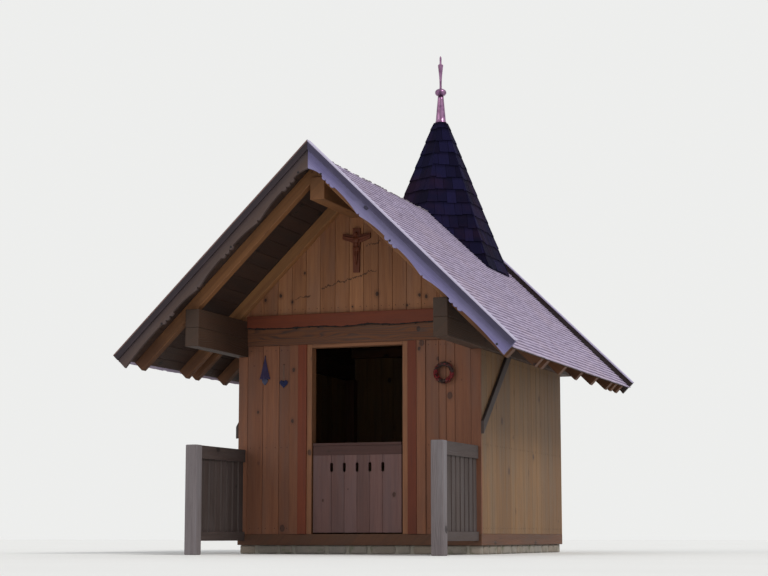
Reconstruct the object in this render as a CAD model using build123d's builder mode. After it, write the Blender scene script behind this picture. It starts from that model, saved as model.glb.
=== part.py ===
from build123d import *
import os
from math import asin, atan, atan2, cos, degrees, hypot, pi, radians, sin, tan

os.makedirs("parts", exist_ok=True)

# A small timber chapel. Millimetres, +Z up, the front gable faces -Y, the ridge runs along Y.
# The origin is on the ground, in the middle of the roof's plan.

# Roof
roof_length = 4390
roof_half_width = 1838
roof_pitch = 44.3
front_overhang = 1190
rear_overhang = 450
shingle_thickness = 20
shingle_drip = 24
roof_board_thickness = 20
rafter_depth = 100
rafter_width = 80
rafter_spacing = 640
birdsmouth_depth = 58
front_rafter_setback = 240
rear_rafter_setback = 120

# Walls
wall_width = 2350
foundation_height = 80
foundation_inset = 12
sill_height = 100
sill_width = 120
post_length = 1630
post_size = 100
cladding = 24
mid_rail_height = 60
mid_rail_depth = 70
mid_rail_level = 760
blocking_thickness = 24
floor_thickness = 40

# Plates and purlins
plate_width = 130
plate_height = 165
purlin_height = 165
plate_centre_from_wall = 25
plate_front_setback = 150
plate_rear_setback = 150
ridge_purlin_width = 135
ridge_purlin_height = 200
ridge_purlin_setback = 230
tie_beam_height = 100

# Doorway
door_clear_width = 880
door_head_height = 1873
lining_width = 50
lining_depth = 100
door_head_thickness = 32
door_post_width = 85
door_post_proud = 12
side_board_width = 85
side_board_proud = 8
header_board_proud = 15
header_beam_proud = 32
header_board_height = 162
header_beam_height = 117
header_depth = 85
waney_wave = 8
waney_ripple = 3
waney_wave_length = 580
waney_ripple_length = 262

# Lower half-door
gate_top_level = 998
gate_bottom_gap = 12
gate_side_gap = 12
gate_board_thickness = 22
gate_frame_thickness = 22
gate_setback = 10
gate_rail_height = 110
gate_rail_cap_thickness = 25
gate_rail_cap_proud = 9
gate_stile_width = 84
gate_slot_width = 26
gate_slot_height = 84
gate_slot_count = 5
gate_slot_pitch = 124
gate_slot_drop = 110
pin_radius = 6
eye_radius = 12
eye_clearance = 0.3
hinge_gap = 2
strap_length = 560
strap_height = 40
strap_thickness = 5
pintle_bracket_height = 24
top_strap_above_rail_foot = 10

# Bargeboards
barge_thickness = 30
barge_top_above_shingles = 57
barge_apex_depth = 167
barge_lobe_depth = 157
barge_waist_depth = 127
barge_end_depth = 149
barge_period = 795
barge_first_lobe = 785
tooth_count = 3
tooth_length = 50
tooth_depth = 20
notch_width = 26
notch_depth = 18
arc_sag = 10
strip_height = 50
strip_thickness = 18
cap_thickness = 12
cap_width = 78

# Spire
spire_sides = 6
spire_from_rear = 770
spire_height = 1227
spire_ridge_radius = 490
spire_wall = 45
spire_cut_below_apex = 215
finial_cone_height = 290
finial_cone_base_radius = 60
finial_cone_top_radius = 30
finial_ball_radius = 60
finial_ball_height = 82
finial_spike_height = 355
finial_spike_belly_radius = 28
finial_spike_neck_radius = 11
finial_spike_tip_radius = 6
finial_neck_height = 70
finial_belly_height = 220
finial_upper_neck_height = 285
ball_bands = 8
finial_sides = 16

# Porch parapets
parapet_post_size = 110
parapet_post_centre = 1125
parapet_post_setback = 120
parapet_top_level = 950
parapet_top_rail_height = 115
parapet_rail_width = 50
parapet_bottom_rail_height = 80
parapet_bottom_rail_level = 120
slat_count = 8
slat_width = 92
slat_thickness = 20

# Braces on the long walls
brace_width = 85
brace_thickness = 26
brace_rise = 700
brace_run = 830

# Ornaments
cross_height = 410
cross_span = 270
cross_beam = 72
cross_foot_width = 60
cross_tip_height = 50
cross_arm_drop = 98
cross_arm_lift = 24
cross_thickness = 22
cross_below_ridge_purlin = 102
figure_relief = 20
figure_edge_slant = 25
shoulder_width = 84
waist_width = 46
hip_width = 60
foot_width = 30
waist_drop = 92
hip_drop = 128
feet_drop = 292
upper_arm_height = 26
hand_height = 16
head_radius = 20
head_above_shoulders = 38
wreath_ring_radius = 76
wreath_tube_radius = 28
wreath_sides = 8
wreath_x = 842
wreath_below_header = 302
heart_width = 84
heart_lobe_share = 0.27
heart_tip_share = 0.62
heart_thickness = 14
heart_x = 719
heart_below_header = 345
pendant_x = 908
pendant_below_header = 85
pendant_height = 225
pendant_base_width = 112
pendant_ball_radius = 30
pendant_ball_overlap = 6

# Levels and lines worked out from the sizes above
slope = tan(radians(roof_pitch))
slope_cos = cos(radians(roof_pitch))
slope_sin = sin(radians(roof_pitch))
y_front = -roof_length / 2
y_rear = roof_length / 2
wall_front = y_front + front_overhang
wall_rear = y_rear - rear_overhang
wall_half = wall_width / 2
frame_half = wall_half - cladding
sill_top = foundation_height + sill_height
plate_bottom = sill_top + post_length
plate_top = plate_bottom + plate_height
purlin_top = plate_top + purlin_height
plate_centre = wall_half - plate_centre_from_wall
plate_inner = plate_centre - plate_width / 2
plate_outer = plate_centre + plate_width / 2
rafter_base = purlin_top - birdsmouth_depth + plate_outer * slope
rafter_crest = rafter_base + rafter_depth / slope_cos
board_crest = rafter_crest + roof_board_thickness / slope_cos
shingle_crest = board_crest + shingle_thickness / slope_cos
barge_crest = shingle_crest + (barge_top_above_shingles - cap_thickness) / slope_cos
eave_x = roof_half_width - (barge_top_above_shingles + shingle_thickness) * slope_sin
front_board_end = y_front + strip_thickness + barge_thickness
rear_board_end = y_rear - strip_thickness - barge_thickness
ridge_purlin_half = ridge_purlin_width / 2
ridge_purlin_top = rafter_base - slope * ridge_purlin_half + birdsmouth_depth
ridge_purlin_bottom = ridge_purlin_top - ridge_purlin_height
door_half = door_clear_width / 2
lining_outer = door_half + lining_width
door_post_outer = lining_outer + door_post_width
side_board_outer = door_post_outer + side_board_width
header_bottom = door_head_height + door_head_thickness
header_beam_level = header_bottom + header_board_height
header_top_level = header_beam_level + header_beam_height
cross_top_level = ridge_purlin_bottom - cross_below_ridge_purlin
wreath_level = header_bottom - wreath_below_header
heart_level = header_bottom - heart_below_header
pendant_top_level = header_bottom - pendant_below_header
spire_y = y_rear - spire_from_rear
spire_apex = shingle_crest + spire_height
spire_cut = spire_apex - spire_cut_below_apex
spire_taper = spire_ridge_radius / spire_height

nodes = []


def crest_to_z(crest, x):
    """Height of a line parallel to the roof that meets the ridge line at the height crest."""
    return crest - slope * abs(x)


def keep(builder, name):
    """Labels a finished piece and writes its file."""
    builder.part.label = name
    export_step(builder.part, f"parts/{name}.step")
    nodes.append(name)


def section_at(y):
    """The plane of a cross-section of the chapel; its local axes are X and Z, and extrude goes to -Y."""
    return Plane.XZ.offset(-y)


def beam(x_from, x_to, y_from, y_to, z_from, z_to):
    """A squared timber between two corners, added to the piece being built."""
    with BuildSketch(Plane.XY.offset(z_from)) as section:
        with Locations(((x_from + x_to) / 2, (y_from + y_to) / 2)):
            Rectangle(x_to - x_from, y_to - y_from)
    extrude(section.sketch, amount=z_to - z_from)


def section_prism(points, y_from, y_to, mode=Mode.ADD):
    """A prism along Y over an outline in X and Z."""
    with BuildSketch(section_at(y_to)) as section:
        with BuildLine():
            Polyline(*points, close=True)
        make_face()
    extrude(section.sketch, amount=y_to - y_from, mode=mode)


def both_sides(*spans):
    """The same X span on the left and on the right."""
    for near, far in spans:
        yield near, far
        yield -far, -near


# Foundation and floor
with BuildPart() as foundation:
    beam(-wall_half + foundation_inset, wall_half - foundation_inset, wall_front + foundation_inset,
         wall_rear - foundation_inset, 0, foundation_height)
keep(foundation, "foundation")

with BuildPart() as floor:
    beam(-wall_half + sill_width, wall_half - sill_width, wall_front + sill_width, wall_rear - sill_width,
         foundation_height, foundation_height + floor_thickness)
keep(floor, "floor")

# Sill ring: two long sills and two short ones between them
with BuildPart() as sill_beams:
    for near, far in both_sides((wall_half - sill_width, wall_half)):
        beam(near, far, wall_front, wall_rear, foundation_height, sill_top)
    beam(-wall_half + sill_width, wall_half - sill_width, wall_front, wall_front + sill_width,
         foundation_height, sill_top)
    beam(-wall_half + sill_width, wall_half - sill_width, wall_rear - sill_width, wall_rear,
         foundation_height, sill_top)
keep(sill_beams, "sill_beams")

# Timber frame behind the boards
with BuildPart() as corner_posts:
    for near, far in both_sides((frame_half - post_size, frame_half)):
        beam(near, far, wall_front + cladding, wall_front + cladding + post_size, sill_top, plate_bottom)
        beam(near, far, wall_rear - cladding - post_size, wall_rear - cladding, sill_top, plate_bottom)
keep(corner_posts, "corner_posts")

rail_bottom = sill_top + mid_rail_level
rail_top = rail_bottom + mid_rail_height
with BuildPart() as wall_rails:
    for near, far in both_sides((frame_half - mid_rail_depth, frame_half)):
        beam(near, far, wall_front + cladding + post_size, wall_rear - cladding - post_size,
             rail_bottom, rail_top)
    beam(-frame_half + post_size, frame_half - post_size, wall_rear - cladding - mid_rail_depth,
         wall_rear - cladding, rail_bottom, rail_top)
keep(wall_rails, "wall_rails")

# Doorway: posts, lining boards and head
with BuildPart() as door_posts:
    for near, far in both_sides((lining_outer, door_post_outer)):
        beam(near, far, wall_front - door_post_proud, wall_front + cladding + post_size,
             sill_top, header_bottom)
keep(door_posts, "door_posts")

with BuildPart() as door_lining:
    for near, far in both_sides((door_half, lining_outer)):
        beam(near, far, wall_front, wall_front + lining_depth, sill_top, header_bottom)
keep(door_lining, "door_lining")

with BuildPart() as door_head:
    beam(-door_half, door_half, wall_front, wall_front + lining_depth, door_head_height, header_bottom)
keep(door_head, "door_head")

# Header: a beam whose lower edge keeps the wave of the log, scribed onto the board below it
header_half = plate_inner
wave_steps = 9
wave_points = []
for step in range(wave_steps + 1):
    wave_x = header_half - 2 * header_half * step / wave_steps
    wave_lift = (waney_wave * sin(2 * pi * wave_x / waney_wave_length)
                 + waney_ripple * cos(2 * pi * wave_x / waney_ripple_length))
    wave_points.append((wave_x, header_beam_level + wave_lift))


def header_timber(level, proud):
    """The part of the header between its waney line and a straight edge, cut back under the rafters."""
    with BuildSketch(section_at(wall_front + header_depth)) as section:
        with BuildLine():
            wave = Spline(*wave_points)
            Polyline(wave @ 1, (-header_half, level), (header_half, level), wave @ 0)
        make_face()
    extrude(section.sketch, amount=header_depth + proud)
    section_prism([(0, rafter_base), (roof_half_width, crest_to_z(rafter_base, roof_half_width)),
                   (roof_half_width, rafter_crest), (-roof_half_width, rafter_crest),
                   (-roof_half_width, crest_to_z(rafter_base, roof_half_width))],
                  wall_front - proud, wall_front + header_depth, mode=Mode.SUBTRACT)


with BuildPart() as header_beam:
    header_timber(header_top_level, header_beam_proud)
keep(header_beam, "header_beam")

with BuildPart() as header_board:
    header_timber(header_bottom, header_board_proud)
keep(header_board, "header_board")

# Front wall beside the doorway, and a corner board under the end of each plate
with BuildPart() as front_wall_right:
    beam(side_board_outer, plate_inner, wall_front, wall_front + cladding, sill_top, header_bottom)
keep(front_wall_right, "front_wall_right")

with BuildPart() as corner_boards:
    for near, far in both_sides((plate_inner, wall_half)):
        beam(near, far, wall_front, wall_front + cladding, sill_top, plate_bottom)
keep(corner_boards, "corner_boards")

with BuildPart() as front_wall_left:
    mirror(front_wall_right.part, about=Plane.YZ)
keep(front_wall_left, "front_wall_left")

with BuildPart() as door_side_boards:
    for near, far in both_sides((door_post_outer, side_board_outer)):
        beam(near, far, wall_front - side_board_proud, wall_front + cladding, sill_top, header_bottom)
keep(door_side_boards, "door_side_boards")

# Side walls
with BuildPart() as right_wall:
    beam(frame_half, wall_half, wall_front + cladding, wall_rear - cladding, sill_top, plate_bottom)
keep(right_wall, "right_wall")

with BuildPart() as left_wall:
    mirror(right_wall.part, about=Plane.YZ)
keep(left_wall, "left_wall")

# Gables, notched over the plates and pierced by the ridge purlin. The front one is scribed over the header.
gable_corner = min((rafter_crest - purlin_top) / slope, wall_half)
scribe_level = header_beam_level + waney_wave + waney_ripple


def ridge_purlin_hole(y_from, y_to):
    section_prism([(-ridge_purlin_half, ridge_purlin_bottom), (ridge_purlin_half, ridge_purlin_bottom),
                   (ridge_purlin_half, ridge_purlin_top), (-ridge_purlin_half, ridge_purlin_top)],
                  y_from, y_to, mode=Mode.SUBTRACT)


with BuildPart() as front_gable:
    half = [(0, rafter_crest), (gable_corner, crest_to_z(rafter_crest, gable_corner)),
            (gable_corner, purlin_top),
            (header_half, purlin_top), (header_half, scribe_level)]
    section_prism(half + [(-x, z) for x, z in reversed(half[1:])], wall_front, wall_front + cladding)
    ridge_purlin_hole(wall_front, wall_front + cladding)
    add(header_beam.part, mode=Mode.SUBTRACT)
keep(front_gable, "front_gable")

with BuildPart() as rear_wall:
    half = [(0, rafter_crest), (gable_corner, crest_to_z(rafter_crest, gable_corner)),
            (gable_corner, purlin_top),
            (plate_inner, purlin_top), (plate_inner, plate_bottom), (wall_half, plate_bottom),
            (wall_half, sill_top)]
    section_prism(half + [(-x, z) for x, z in reversed(half[1:])], wall_rear - cladding, wall_rear)
    ridge_purlin_hole(wall_rear - cladding, wall_rear)
keep(rear_wall, "rear_wall")

# Plates and eave purlins run out under the front overhang
plate_from = y_front + plate_front_setback
plate_to = y_rear - plate_rear_setback
with BuildPart() as wall_plates:
    for near, far in both_sides((plate_inner, plate_outer)):
        beam(near, far, plate_from, plate_to, plate_bottom, plate_top)
keep(wall_plates, "wall_plates")

birdsmouth_x = (rafter_base - purlin_top) / slope
with BuildPart() as eave_purlins:
    for near, far in both_sides((plate_inner, plate_outer)):
        beam(near, far, plate_from, plate_to, plate_top, purlin_top)
keep(eave_purlins, "eave_purlins")

with BuildPart() as ridge_purlin:
    beam(-ridge_purlin_half, ridge_purlin_half, y_front + ridge_purlin_setback, y_rear - ridge_purlin_setback,
         ridge_purlin_bottom, ridge_purlin_top)
keep(ridge_purlin, "ridge_purlin")

with BuildPart() as rear_tie_beam:
    beam(-plate_inner, plate_inner, wall_rear - cladding - post_size, wall_rear - cladding,
         purlin_top - tie_beam_height, purlin_top)
keep(rear_tie_beam, "rear_tie_beam")

with BuildPart() as king_posts:
    beam(-post_size / 2, post_size / 2, wall_rear - cladding - post_size, wall_rear - cladding,
         purlin_top, ridge_purlin_bottom)
    beam(-post_size / 2, post_size / 2, wall_front + cladding, wall_front + header_depth,
         header_top_level, ridge_purlin_bottom)
keep(king_posts, "king_posts")

# Rafters: a flying pair inside each verge, a pair against each gable and pairs between the gables
rafter_fronts = [y_front + front_rafter_setback, wall_front - rafter_width]
inner_from = wall_front + cladding + post_size
inner_to = wall_rear - cladding - post_size - rafter_width
inner_count = max(2, round((inner_to - inner_from) / rafter_spacing) + 1)
for index in range(inner_count):
    rafter_fronts.append(inner_from + (inner_to - inner_from) * index / (inner_count - 1))
rafter_fronts += [wall_rear, y_rear - rear_rafter_setback - rafter_width]

rafter_end_x = eave_x - (shingle_thickness + roof_board_thickness) * slope_sin
rafter_foot_x = rafter_end_x - rafter_depth * slope_sin
rafter_outline = [(0, crest_to_z(rafter_crest, 0)),
                  (rafter_end_x, crest_to_z(rafter_crest, rafter_end_x)),
                  (rafter_foot_x, crest_to_z(rafter_base, rafter_foot_x)),
                  (plate_outer, crest_to_z(rafter_base, plate_outer)),
                  (plate_outer, purlin_top),
                  (birdsmouth_x, purlin_top),
                  (ridge_purlin_half, crest_to_z(rafter_base, ridge_purlin_half)),
                  (ridge_purlin_half, ridge_purlin_top),
                  (0, ridge_purlin_top)]
with BuildPart() as rafters_right:
    for front in rafter_fronts:
        section_prism(rafter_outline, front, front + rafter_width)
keep(rafters_right, "rafters_right")

with BuildPart() as rafters_left:
    mirror(rafters_right.part, about=Plane.YZ)
keep(rafters_left, "rafters_left")

# Blocking over the eave purlins between neighbouring rafters of the house
with BuildPart() as eave_blocking:
    house_rafters = rafter_fronts[1:-1]
    for this_front, next_front in zip(house_rafters[:-1], house_rafters[1:]):
        from_y = this_front + rafter_width
        to_y = next_front
        for side in (1, -1):
            outline = [(side * (plate_centre - blocking_thickness), purlin_top),
                       (side * plate_centre, purlin_top),
                       (side * plate_centre, crest_to_z(rafter_crest, plate_centre)),
                       (side * (plate_centre - blocking_thickness),
                        crest_to_z(rafter_crest, plate_centre - blocking_thickness))]
            if to_y - from_y > blocking_thickness:
                section_prism(outline, max(from_y, wall_front + cladding), min(to_y, wall_rear - cladding))
keep(eave_blocking, "eave_blocking")

# Roof boards and shingles, one slope each
with BuildPart() as roof_boards_right:
    end_top = eave_x - shingle_thickness * slope_sin
    end_bottom = end_top - roof_board_thickness * slope_sin
    section_prism([(0, rafter_crest), (0, board_crest), (end_top, crest_to_z(board_crest, end_top)),
                   (end_bottom, crest_to_z(rafter_crest, end_bottom))],
                  front_board_end, rear_board_end)
keep(roof_boards_right, "roof_boards_right")

with BuildPart() as roof_boards_left:
    mirror(roof_boards_right.part, about=Plane.YZ)
keep(roof_boards_left, "roof_boards_left")

with BuildPart() as shingles_right:
    end_top = eave_x + shingle_drip
    end_bottom = end_top - shingle_thickness * slope_sin
    section_prism([(0, board_crest), (0, shingle_crest), (end_top, crest_to_z(shingle_crest, end_top)),
                   (end_bottom, crest_to_z(board_crest, end_bottom))],
                  front_board_end, rear_board_end)
keep(shingles_right, "shingles_right")

with BuildPart() as shingles_left:
    mirror(shingles_right.part, about=Plane.YZ)
keep(shingles_left, "shingles_left")


# Bargeboards with a scalloped lower edge
def slope_point(along, depth):
    """A point of the right bargeboard: along its top edge from the apex, and square to that edge, down."""
    return (along * slope_cos - depth * slope_sin, barge_crest - along * slope_sin - depth * slope_cos)


barge_end = roof_half_width / slope_cos
teeth_length = tooth_count * tooth_length


def scallop_edge():
    """Draws the lower edge from the apex to the lower end: long curves, small teeth and notched lobes."""
    start = slope_point(barge_apex_depth * slope, barge_apex_depth)
    along_start = barge_apex_depth * slope
    depth_start = barge_apex_depth
    lobe = barge_first_lobe
    while True:
        last = lobe + barge_period > barge_end
        teeth_from = lobe - barge_period / 2 - teeth_length / 2
        middle = slope_point((along_start + teeth_from) / 2, (depth_start + barge_waist_depth) / 2 - arc_sag)
        ThreePointArc(start, middle, slope_point(teeth_from, barge_waist_depth))
        for tooth in range(tooth_count):
            tooth_from = teeth_from + tooth * tooth_length
            ThreePointArc(slope_point(tooth_from, barge_waist_depth),
                          slope_point(tooth_from + tooth_length / 2, barge_waist_depth + tooth_depth),
                          slope_point(tooth_from + tooth_length, barge_waist_depth))
        teeth_to = teeth_from + teeth_length
        lobe_at = barge_end if last else lobe
        lobe_depth = barge_end_depth if last else barge_lobe_depth
        middle = slope_point((teeth_to + lobe_at) / 2, (barge_waist_depth + lobe_depth) / 2 - arc_sag)
        ThreePointArc(slope_point(teeth_to, barge_waist_depth), middle, slope_point(lobe_at, lobe_depth))
        if last:
            return slope_point(lobe_at, lobe_depth)
        Polyline(slope_point(lobe_at, lobe_depth),
                 slope_point(lobe_at + notch_width / 2, lobe_depth - notch_depth),
                 slope_point(lobe_at + notch_width, lobe_depth))
        along_start = lobe_at + notch_width
        depth_start = lobe_depth
        start = slope_point(along_start, depth_start)
        lobe += barge_period


def bargeboard(y_to):
    """A right bargeboard whose rear face is at y_to."""
    with BuildSketch(section_at(y_to)) as section:
        with BuildLine():
            end_point = scallop_edge()
            Polyline(end_point, slope_point(barge_end, 0), slope_point(0, 0),
                     slope_point(barge_apex_depth * slope, barge_apex_depth))
        make_face()
    extrude(section.sketch, amount=barge_thickness)


with BuildPart() as front_bargeboard_right:
    bargeboard(front_board_end)
keep(front_bargeboard_right, "front_bargeboard_right")

with BuildPart() as front_bargeboard_left:
    mirror(front_bargeboard_right.part, about=Plane.YZ)
keep(front_bargeboard_left, "front_bargeboard_left")

with BuildPart() as rear_bargeboard_right:
    bargeboard(rear_board_end + barge_thickness)
keep(rear_bargeboard_right, "rear_bargeboard_right")

with BuildPart() as rear_bargeboard_left:
    mirror(rear_bargeboard_right.part, about=Plane.YZ)
keep(rear_bargeboard_left, "rear_bargeboard_left")

# A strip along the top of each bargeboard, and a cap board over both
strip_outline = [slope_point(0, 0), slope_point(barge_end, 0), slope_point(barge_end, strip_height),
                 slope_point(strip_height * slope, strip_height)]
cap_outline = [slope_point(0, 0), slope_point(barge_end, 0), slope_point(barge_end, -cap_thickness),
               slope_point(-cap_thickness * slope, -cap_thickness)]
with BuildPart() as verge_strips:
    for side in (1, -1):
        outline = [(side * x, z) for x, z in strip_outline]
        section_prism(outline, y_front, y_front + strip_thickness)
        section_prism(outline, y_rear - strip_thickness, y_rear)
keep(verge_strips, "verge_strips")

with BuildPart() as verge_caps:
    for side in (1, -1):
        outline = [(side * x, z) for x, z in cap_outline]
        section_prism(outline, y_front, y_front + cap_width)
        section_prism(outline, y_rear - cap_width, y_rear)
keep(verge_caps, "verge_caps")


# Spire: a hollow six-sided pyramid that sits astride the ridge, with corners on the ridge line
spire_apothem = cos(radians(180 / spire_sides)) * spire_taper


def spire_pyramid(apex, top, bottom, mode=Mode.ADD):
    """A cut-off pyramid whose flat sides would meet at the level apex."""
    with BuildSketch(Plane.XY.offset(bottom)) as foot:
        with Locations((0, spire_y)):
            RegularPolygon((apex - bottom) * spire_taper, spire_sides, rotation=90)
    extrude(foot.sketch, amount=top - bottom, taper=degrees(atan(spire_apothem)), mode=mode)


spire_foot = (shingle_crest - spire_apex * spire_apothem * slope) / (1 - spire_apothem * slope)
spire_bottom = spire_foot - spire_wall
inner_apex = spire_apex - spire_wall / spire_apothem
with BuildPart() as spire:
    spire_pyramid(spire_apex, spire_cut, spire_bottom)
    spire_pyramid(inner_apex, spire_cut - spire_wall, spire_bottom, mode=Mode.SUBTRACT)
    section_prism([(0, shingle_crest), (roof_half_width, crest_to_z(shingle_crest, roof_half_width)),
                   (roof_half_width, 0), (-roof_half_width, 0),
                   (-roof_half_width, crest_to_z(shingle_crest, roof_half_width))],
                  spire_y - spire_height, spire_y + spire_height, mode=Mode.SUBTRACT)
keep(spire, "spire")

# The finial is folded from sheet copper, so it has many flat sides
def folded_stack(rings):
    """Many-sided bands about the spire's axis, between rings given as radius and level."""
    for (foot_radius, foot_level), (head_radius, head_level) in zip(rings[:-1], rings[1:]):
        with BuildSketch(Plane.XY.offset(foot_level)) as foot:
            with Locations((0, spire_y)):
                RegularPolygon(foot_radius, finial_sides)
        run = (foot_radius - head_radius) * cos(pi / finial_sides)
        rise = head_level - foot_level
        extrude(foot.sketch, amount=rise, taper=degrees(atan(run / rise)))


ball_bottom = spire_cut + finial_cone_height
ball_top = ball_bottom + finial_ball_height
with BuildPart() as finial_cone:
    folded_stack([(finial_cone_base_radius, spire_cut), (finial_cone_top_radius, ball_bottom)])
keep(finial_cone, "finial_cone")

ball_rings = [(finial_cone_top_radius, ball_bottom)]
for band in range(1, ball_bands):
    turn = pi * band / ball_bands
    ball_rings.append((finial_ball_radius * sin(turn),
                       ball_bottom + finial_ball_height * (1 - cos(turn)) / 2))
ball_rings.append((finial_spike_neck_radius, ball_top))
with BuildPart() as finial_ball:
    folded_stack(ball_rings)
keep(finial_ball, "finial_ball")

spike_top = ball_top + finial_spike_height
with BuildPart() as finial_spike:
    folded_stack([(finial_spike_neck_radius, ball_top),
                  (finial_spike_neck_radius, ball_top + finial_neck_height),
                  (finial_spike_belly_radius, ball_top + finial_belly_height),
                  (finial_spike_neck_radius, ball_top + finial_upper_neck_height),
                  (finial_spike_tip_radius, spike_top)])
keep(finial_spike, "finial_spike")

# Porch parapets beside the way in
post_from = y_front + parapet_post_setback
post_to = post_from + parapet_post_size
post_inner = parapet_post_centre - parapet_post_size / 2
post_outer = parapet_post_centre + parapet_post_size / 2
rail_inner = parapet_post_centre - parapet_rail_width / 2
rail_outer = parapet_post_centre + parapet_rail_width / 2
with BuildPart() as parapet_posts:
    for near, far in both_sides((post_inner, post_outer)):
        beam(near, far, post_from, post_to, 0, parapet_top_level)
keep(parapet_posts, "parapet_posts")

with BuildPart() as parapet_rails:
    for near, far in both_sides((rail_inner, rail_outer)):
        beam(near, far, post_to, wall_front, parapet_top_level - parapet_top_rail_height, parapet_top_level)
        beam(near, far, post_to, wall_front, parapet_bottom_rail_level,
             parapet_bottom_rail_level + parapet_bottom_rail_height)
keep(parapet_rails, "parapet_rails")

slat_bottom = parapet_bottom_rail_level + parapet_bottom_rail_height
slat_top = parapet_top_level - parapet_top_rail_height
slat_pitch = (wall_front - post_to) / slat_count
slat_inner = parapet_post_centre - slat_thickness / 2
slat_outer = parapet_post_centre + slat_thickness / 2
with BuildPart() as parapet_slats:
    for near, far in both_sides((slat_inner, slat_outer)):
        for index in range(slat_count):
            middle = post_to + slat_pitch * (index + 0.5)
            beam(near, far, middle - slat_width / 2, middle + slat_width / 2, slat_bottom, slat_top)
keep(parapet_slats, "parapet_slats")

# Slanting braces from the front corners up to the plates, on the outside of the long walls
brace_half = brace_width / 2 * hypot(brace_rise, brace_run)
with BuildPart() as side_braces:
    for near, far in both_sides((wall_half, wall_half + brace_thickness)):
        with BuildSketch(Plane.YZ.offset(near)):
            with BuildLine():
                foot_half = brace_half / brace_run
                head_half = brace_half / brace_rise
                Polyline((wall_front, plate_bottom - brace_rise - foot_half),
                         (wall_front, plate_bottom - brace_rise + foot_half),
                         (wall_front + brace_run - head_half, plate_bottom),
                         (wall_front + brace_run + head_half, plate_bottom), close=True)
            make_face()
        extrude(amount=far - near)
keep(side_braces, "side_braces")

# Crucifix on the gable: a plank cross with lifted arms, and a plain figure in relief on it
cross_bottom = cross_top_level - cross_height
arm_level = cross_top_level - cross_arm_drop
hand_level = arm_level + cross_arm_lift
shoulder_level = arm_level + upper_arm_height / 2
cross_face = wall_front - cross_thickness


def relief(half, slant=0):
    """A mirrored outline raised on the face of the cross, with slanting edges."""
    with BuildSketch(section_at(cross_face)) as section:
        with BuildLine():
            Polyline(*half, *[(-x, z) for x, z in reversed(half)], close=True)
        make_face()
    extrude(section.sketch, amount=figure_relief, taper=slant)


with BuildPart() as crucifix:
    with BuildSketch(section_at(wall_front)):
        with BuildLine():
            half = [(cross_foot_width / 2, cross_bottom), (cross_beam / 2, arm_level - cross_beam / 2),
                    (cross_span / 2, hand_level - cross_tip_height / 2),
                    (cross_span / 2, hand_level + cross_tip_height / 2),
                    (cross_beam / 2, arm_level + cross_beam / 2), (cross_beam / 2, cross_top_level)]
            Polyline(*half, *[(-x, z) for x, z in reversed(half)], close=True)
        make_face()
    extrude(amount=cross_thickness)
    # Body, from the shoulders to the feet
    relief([(foot_width / 2, shoulder_level - feet_drop), (hip_width / 2, shoulder_level - hip_drop),
            (waist_width / 2, shoulder_level - waist_drop), (shoulder_width / 2, shoulder_level)],
           slant=figure_edge_slant)
    # Arms, up to the hands at the ends of the cross
    relief([(waist_width / 2, shoulder_level - upper_arm_height),
            (cross_span / 2, hand_level - hand_height / 2),
            (cross_span / 2, hand_level + hand_height / 2), (waist_width / 2, shoulder_level)])
    with Locations((0, cross_face - figure_relief / 2, shoulder_level + head_above_shoulders)):
        Sphere(head_radius)
keep(crucifix, "crucifix")

# Wreath on the right of the front wall, heart and drop on the left
with BuildPart() as wreath:
    with BuildSketch(Plane.XY.offset(wreath_level)):
        with Locations((wreath_x + wreath_ring_radius, wall_front - wreath_tube_radius)):
            RegularPolygon(wreath_tube_radius, wreath_sides, major_radius=False, rotation=180 / wreath_sides)
    revolve(axis=Axis((wreath_x, wall_front - wreath_tube_radius, wreath_level), (0, 1, 0)))
keep(wreath, "wreath")

heart_lobe_radius = heart_lobe_share * heart_width
heart_lobe_offset = 0.5 * heart_width - heart_lobe_radius
heart_tip_drop = heart_tip_share * heart_width
to_lobe = atan2(heart_tip_drop, heart_lobe_offset)
lobe_distance = hypot(heart_tip_drop, heart_lobe_offset)
tangent_angle = to_lobe - asin(heart_lobe_radius / lobe_distance)
tangent_length = (lobe_distance ** 2 - heart_lobe_radius ** 2) ** 0.5
tangent_x = tangent_length * cos(tangent_angle)
tangent_z = heart_level - heart_tip_drop + tangent_length * sin(tangent_angle)
with BuildPart() as heart:
    with BuildSketch(section_at(wall_front)):
        with Locations((-heart_x - heart_lobe_offset, heart_level),
                       (-heart_x + heart_lobe_offset, heart_level)):
            Circle(heart_lobe_radius)
        with BuildLine():
            Polyline((-heart_x, heart_level - heart_tip_drop), (-heart_x + tangent_x, tangent_z),
                     (-heart_x + heart_lobe_offset, heart_level), (-heart_x - heart_lobe_offset, heart_level),
                     (-heart_x - tangent_x, tangent_z), close=True)
        make_face()
    extrude(amount=heart_thickness)
keep(heart, "hanging_heart")

pendant_foot = pendant_top_level - pendant_height
with BuildPart() as pendant:
    with BuildSketch(section_at(wall_front)):
        with BuildLine():
            Polyline((-pendant_x, pendant_top_level), (-pendant_x - pendant_base_width / 2, pendant_foot),
                     (-pendant_x + pendant_base_width / 2, pendant_foot), close=True)
        make_face()
    extrude(amount=heart_thickness)
    with BuildSketch(section_at(wall_front)):
        with Locations((-pendant_x, pendant_foot - pendant_ball_radius + pendant_ball_overlap)):
            Circle(pendant_ball_radius)
    extrude(amount=heart_thickness)
keep(pendant, "hanging_drop")

# Lower half-door, hinged at the left lining and swinging inward
gate_left = -door_half + gate_side_gap
gate_right = door_half - gate_side_gap
gate_bottom = sill_top + gate_bottom_gap
gate_face = wall_front + gate_setback
gate_back = gate_face + gate_board_thickness
frame_back = gate_back + gate_frame_thickness
cap_bottom = gate_top_level - gate_rail_cap_thickness
gate_rail_bottom = cap_bottom - gate_rail_height + gate_rail_cap_thickness
slot_level = gate_rail_bottom - gate_slot_drop

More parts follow.
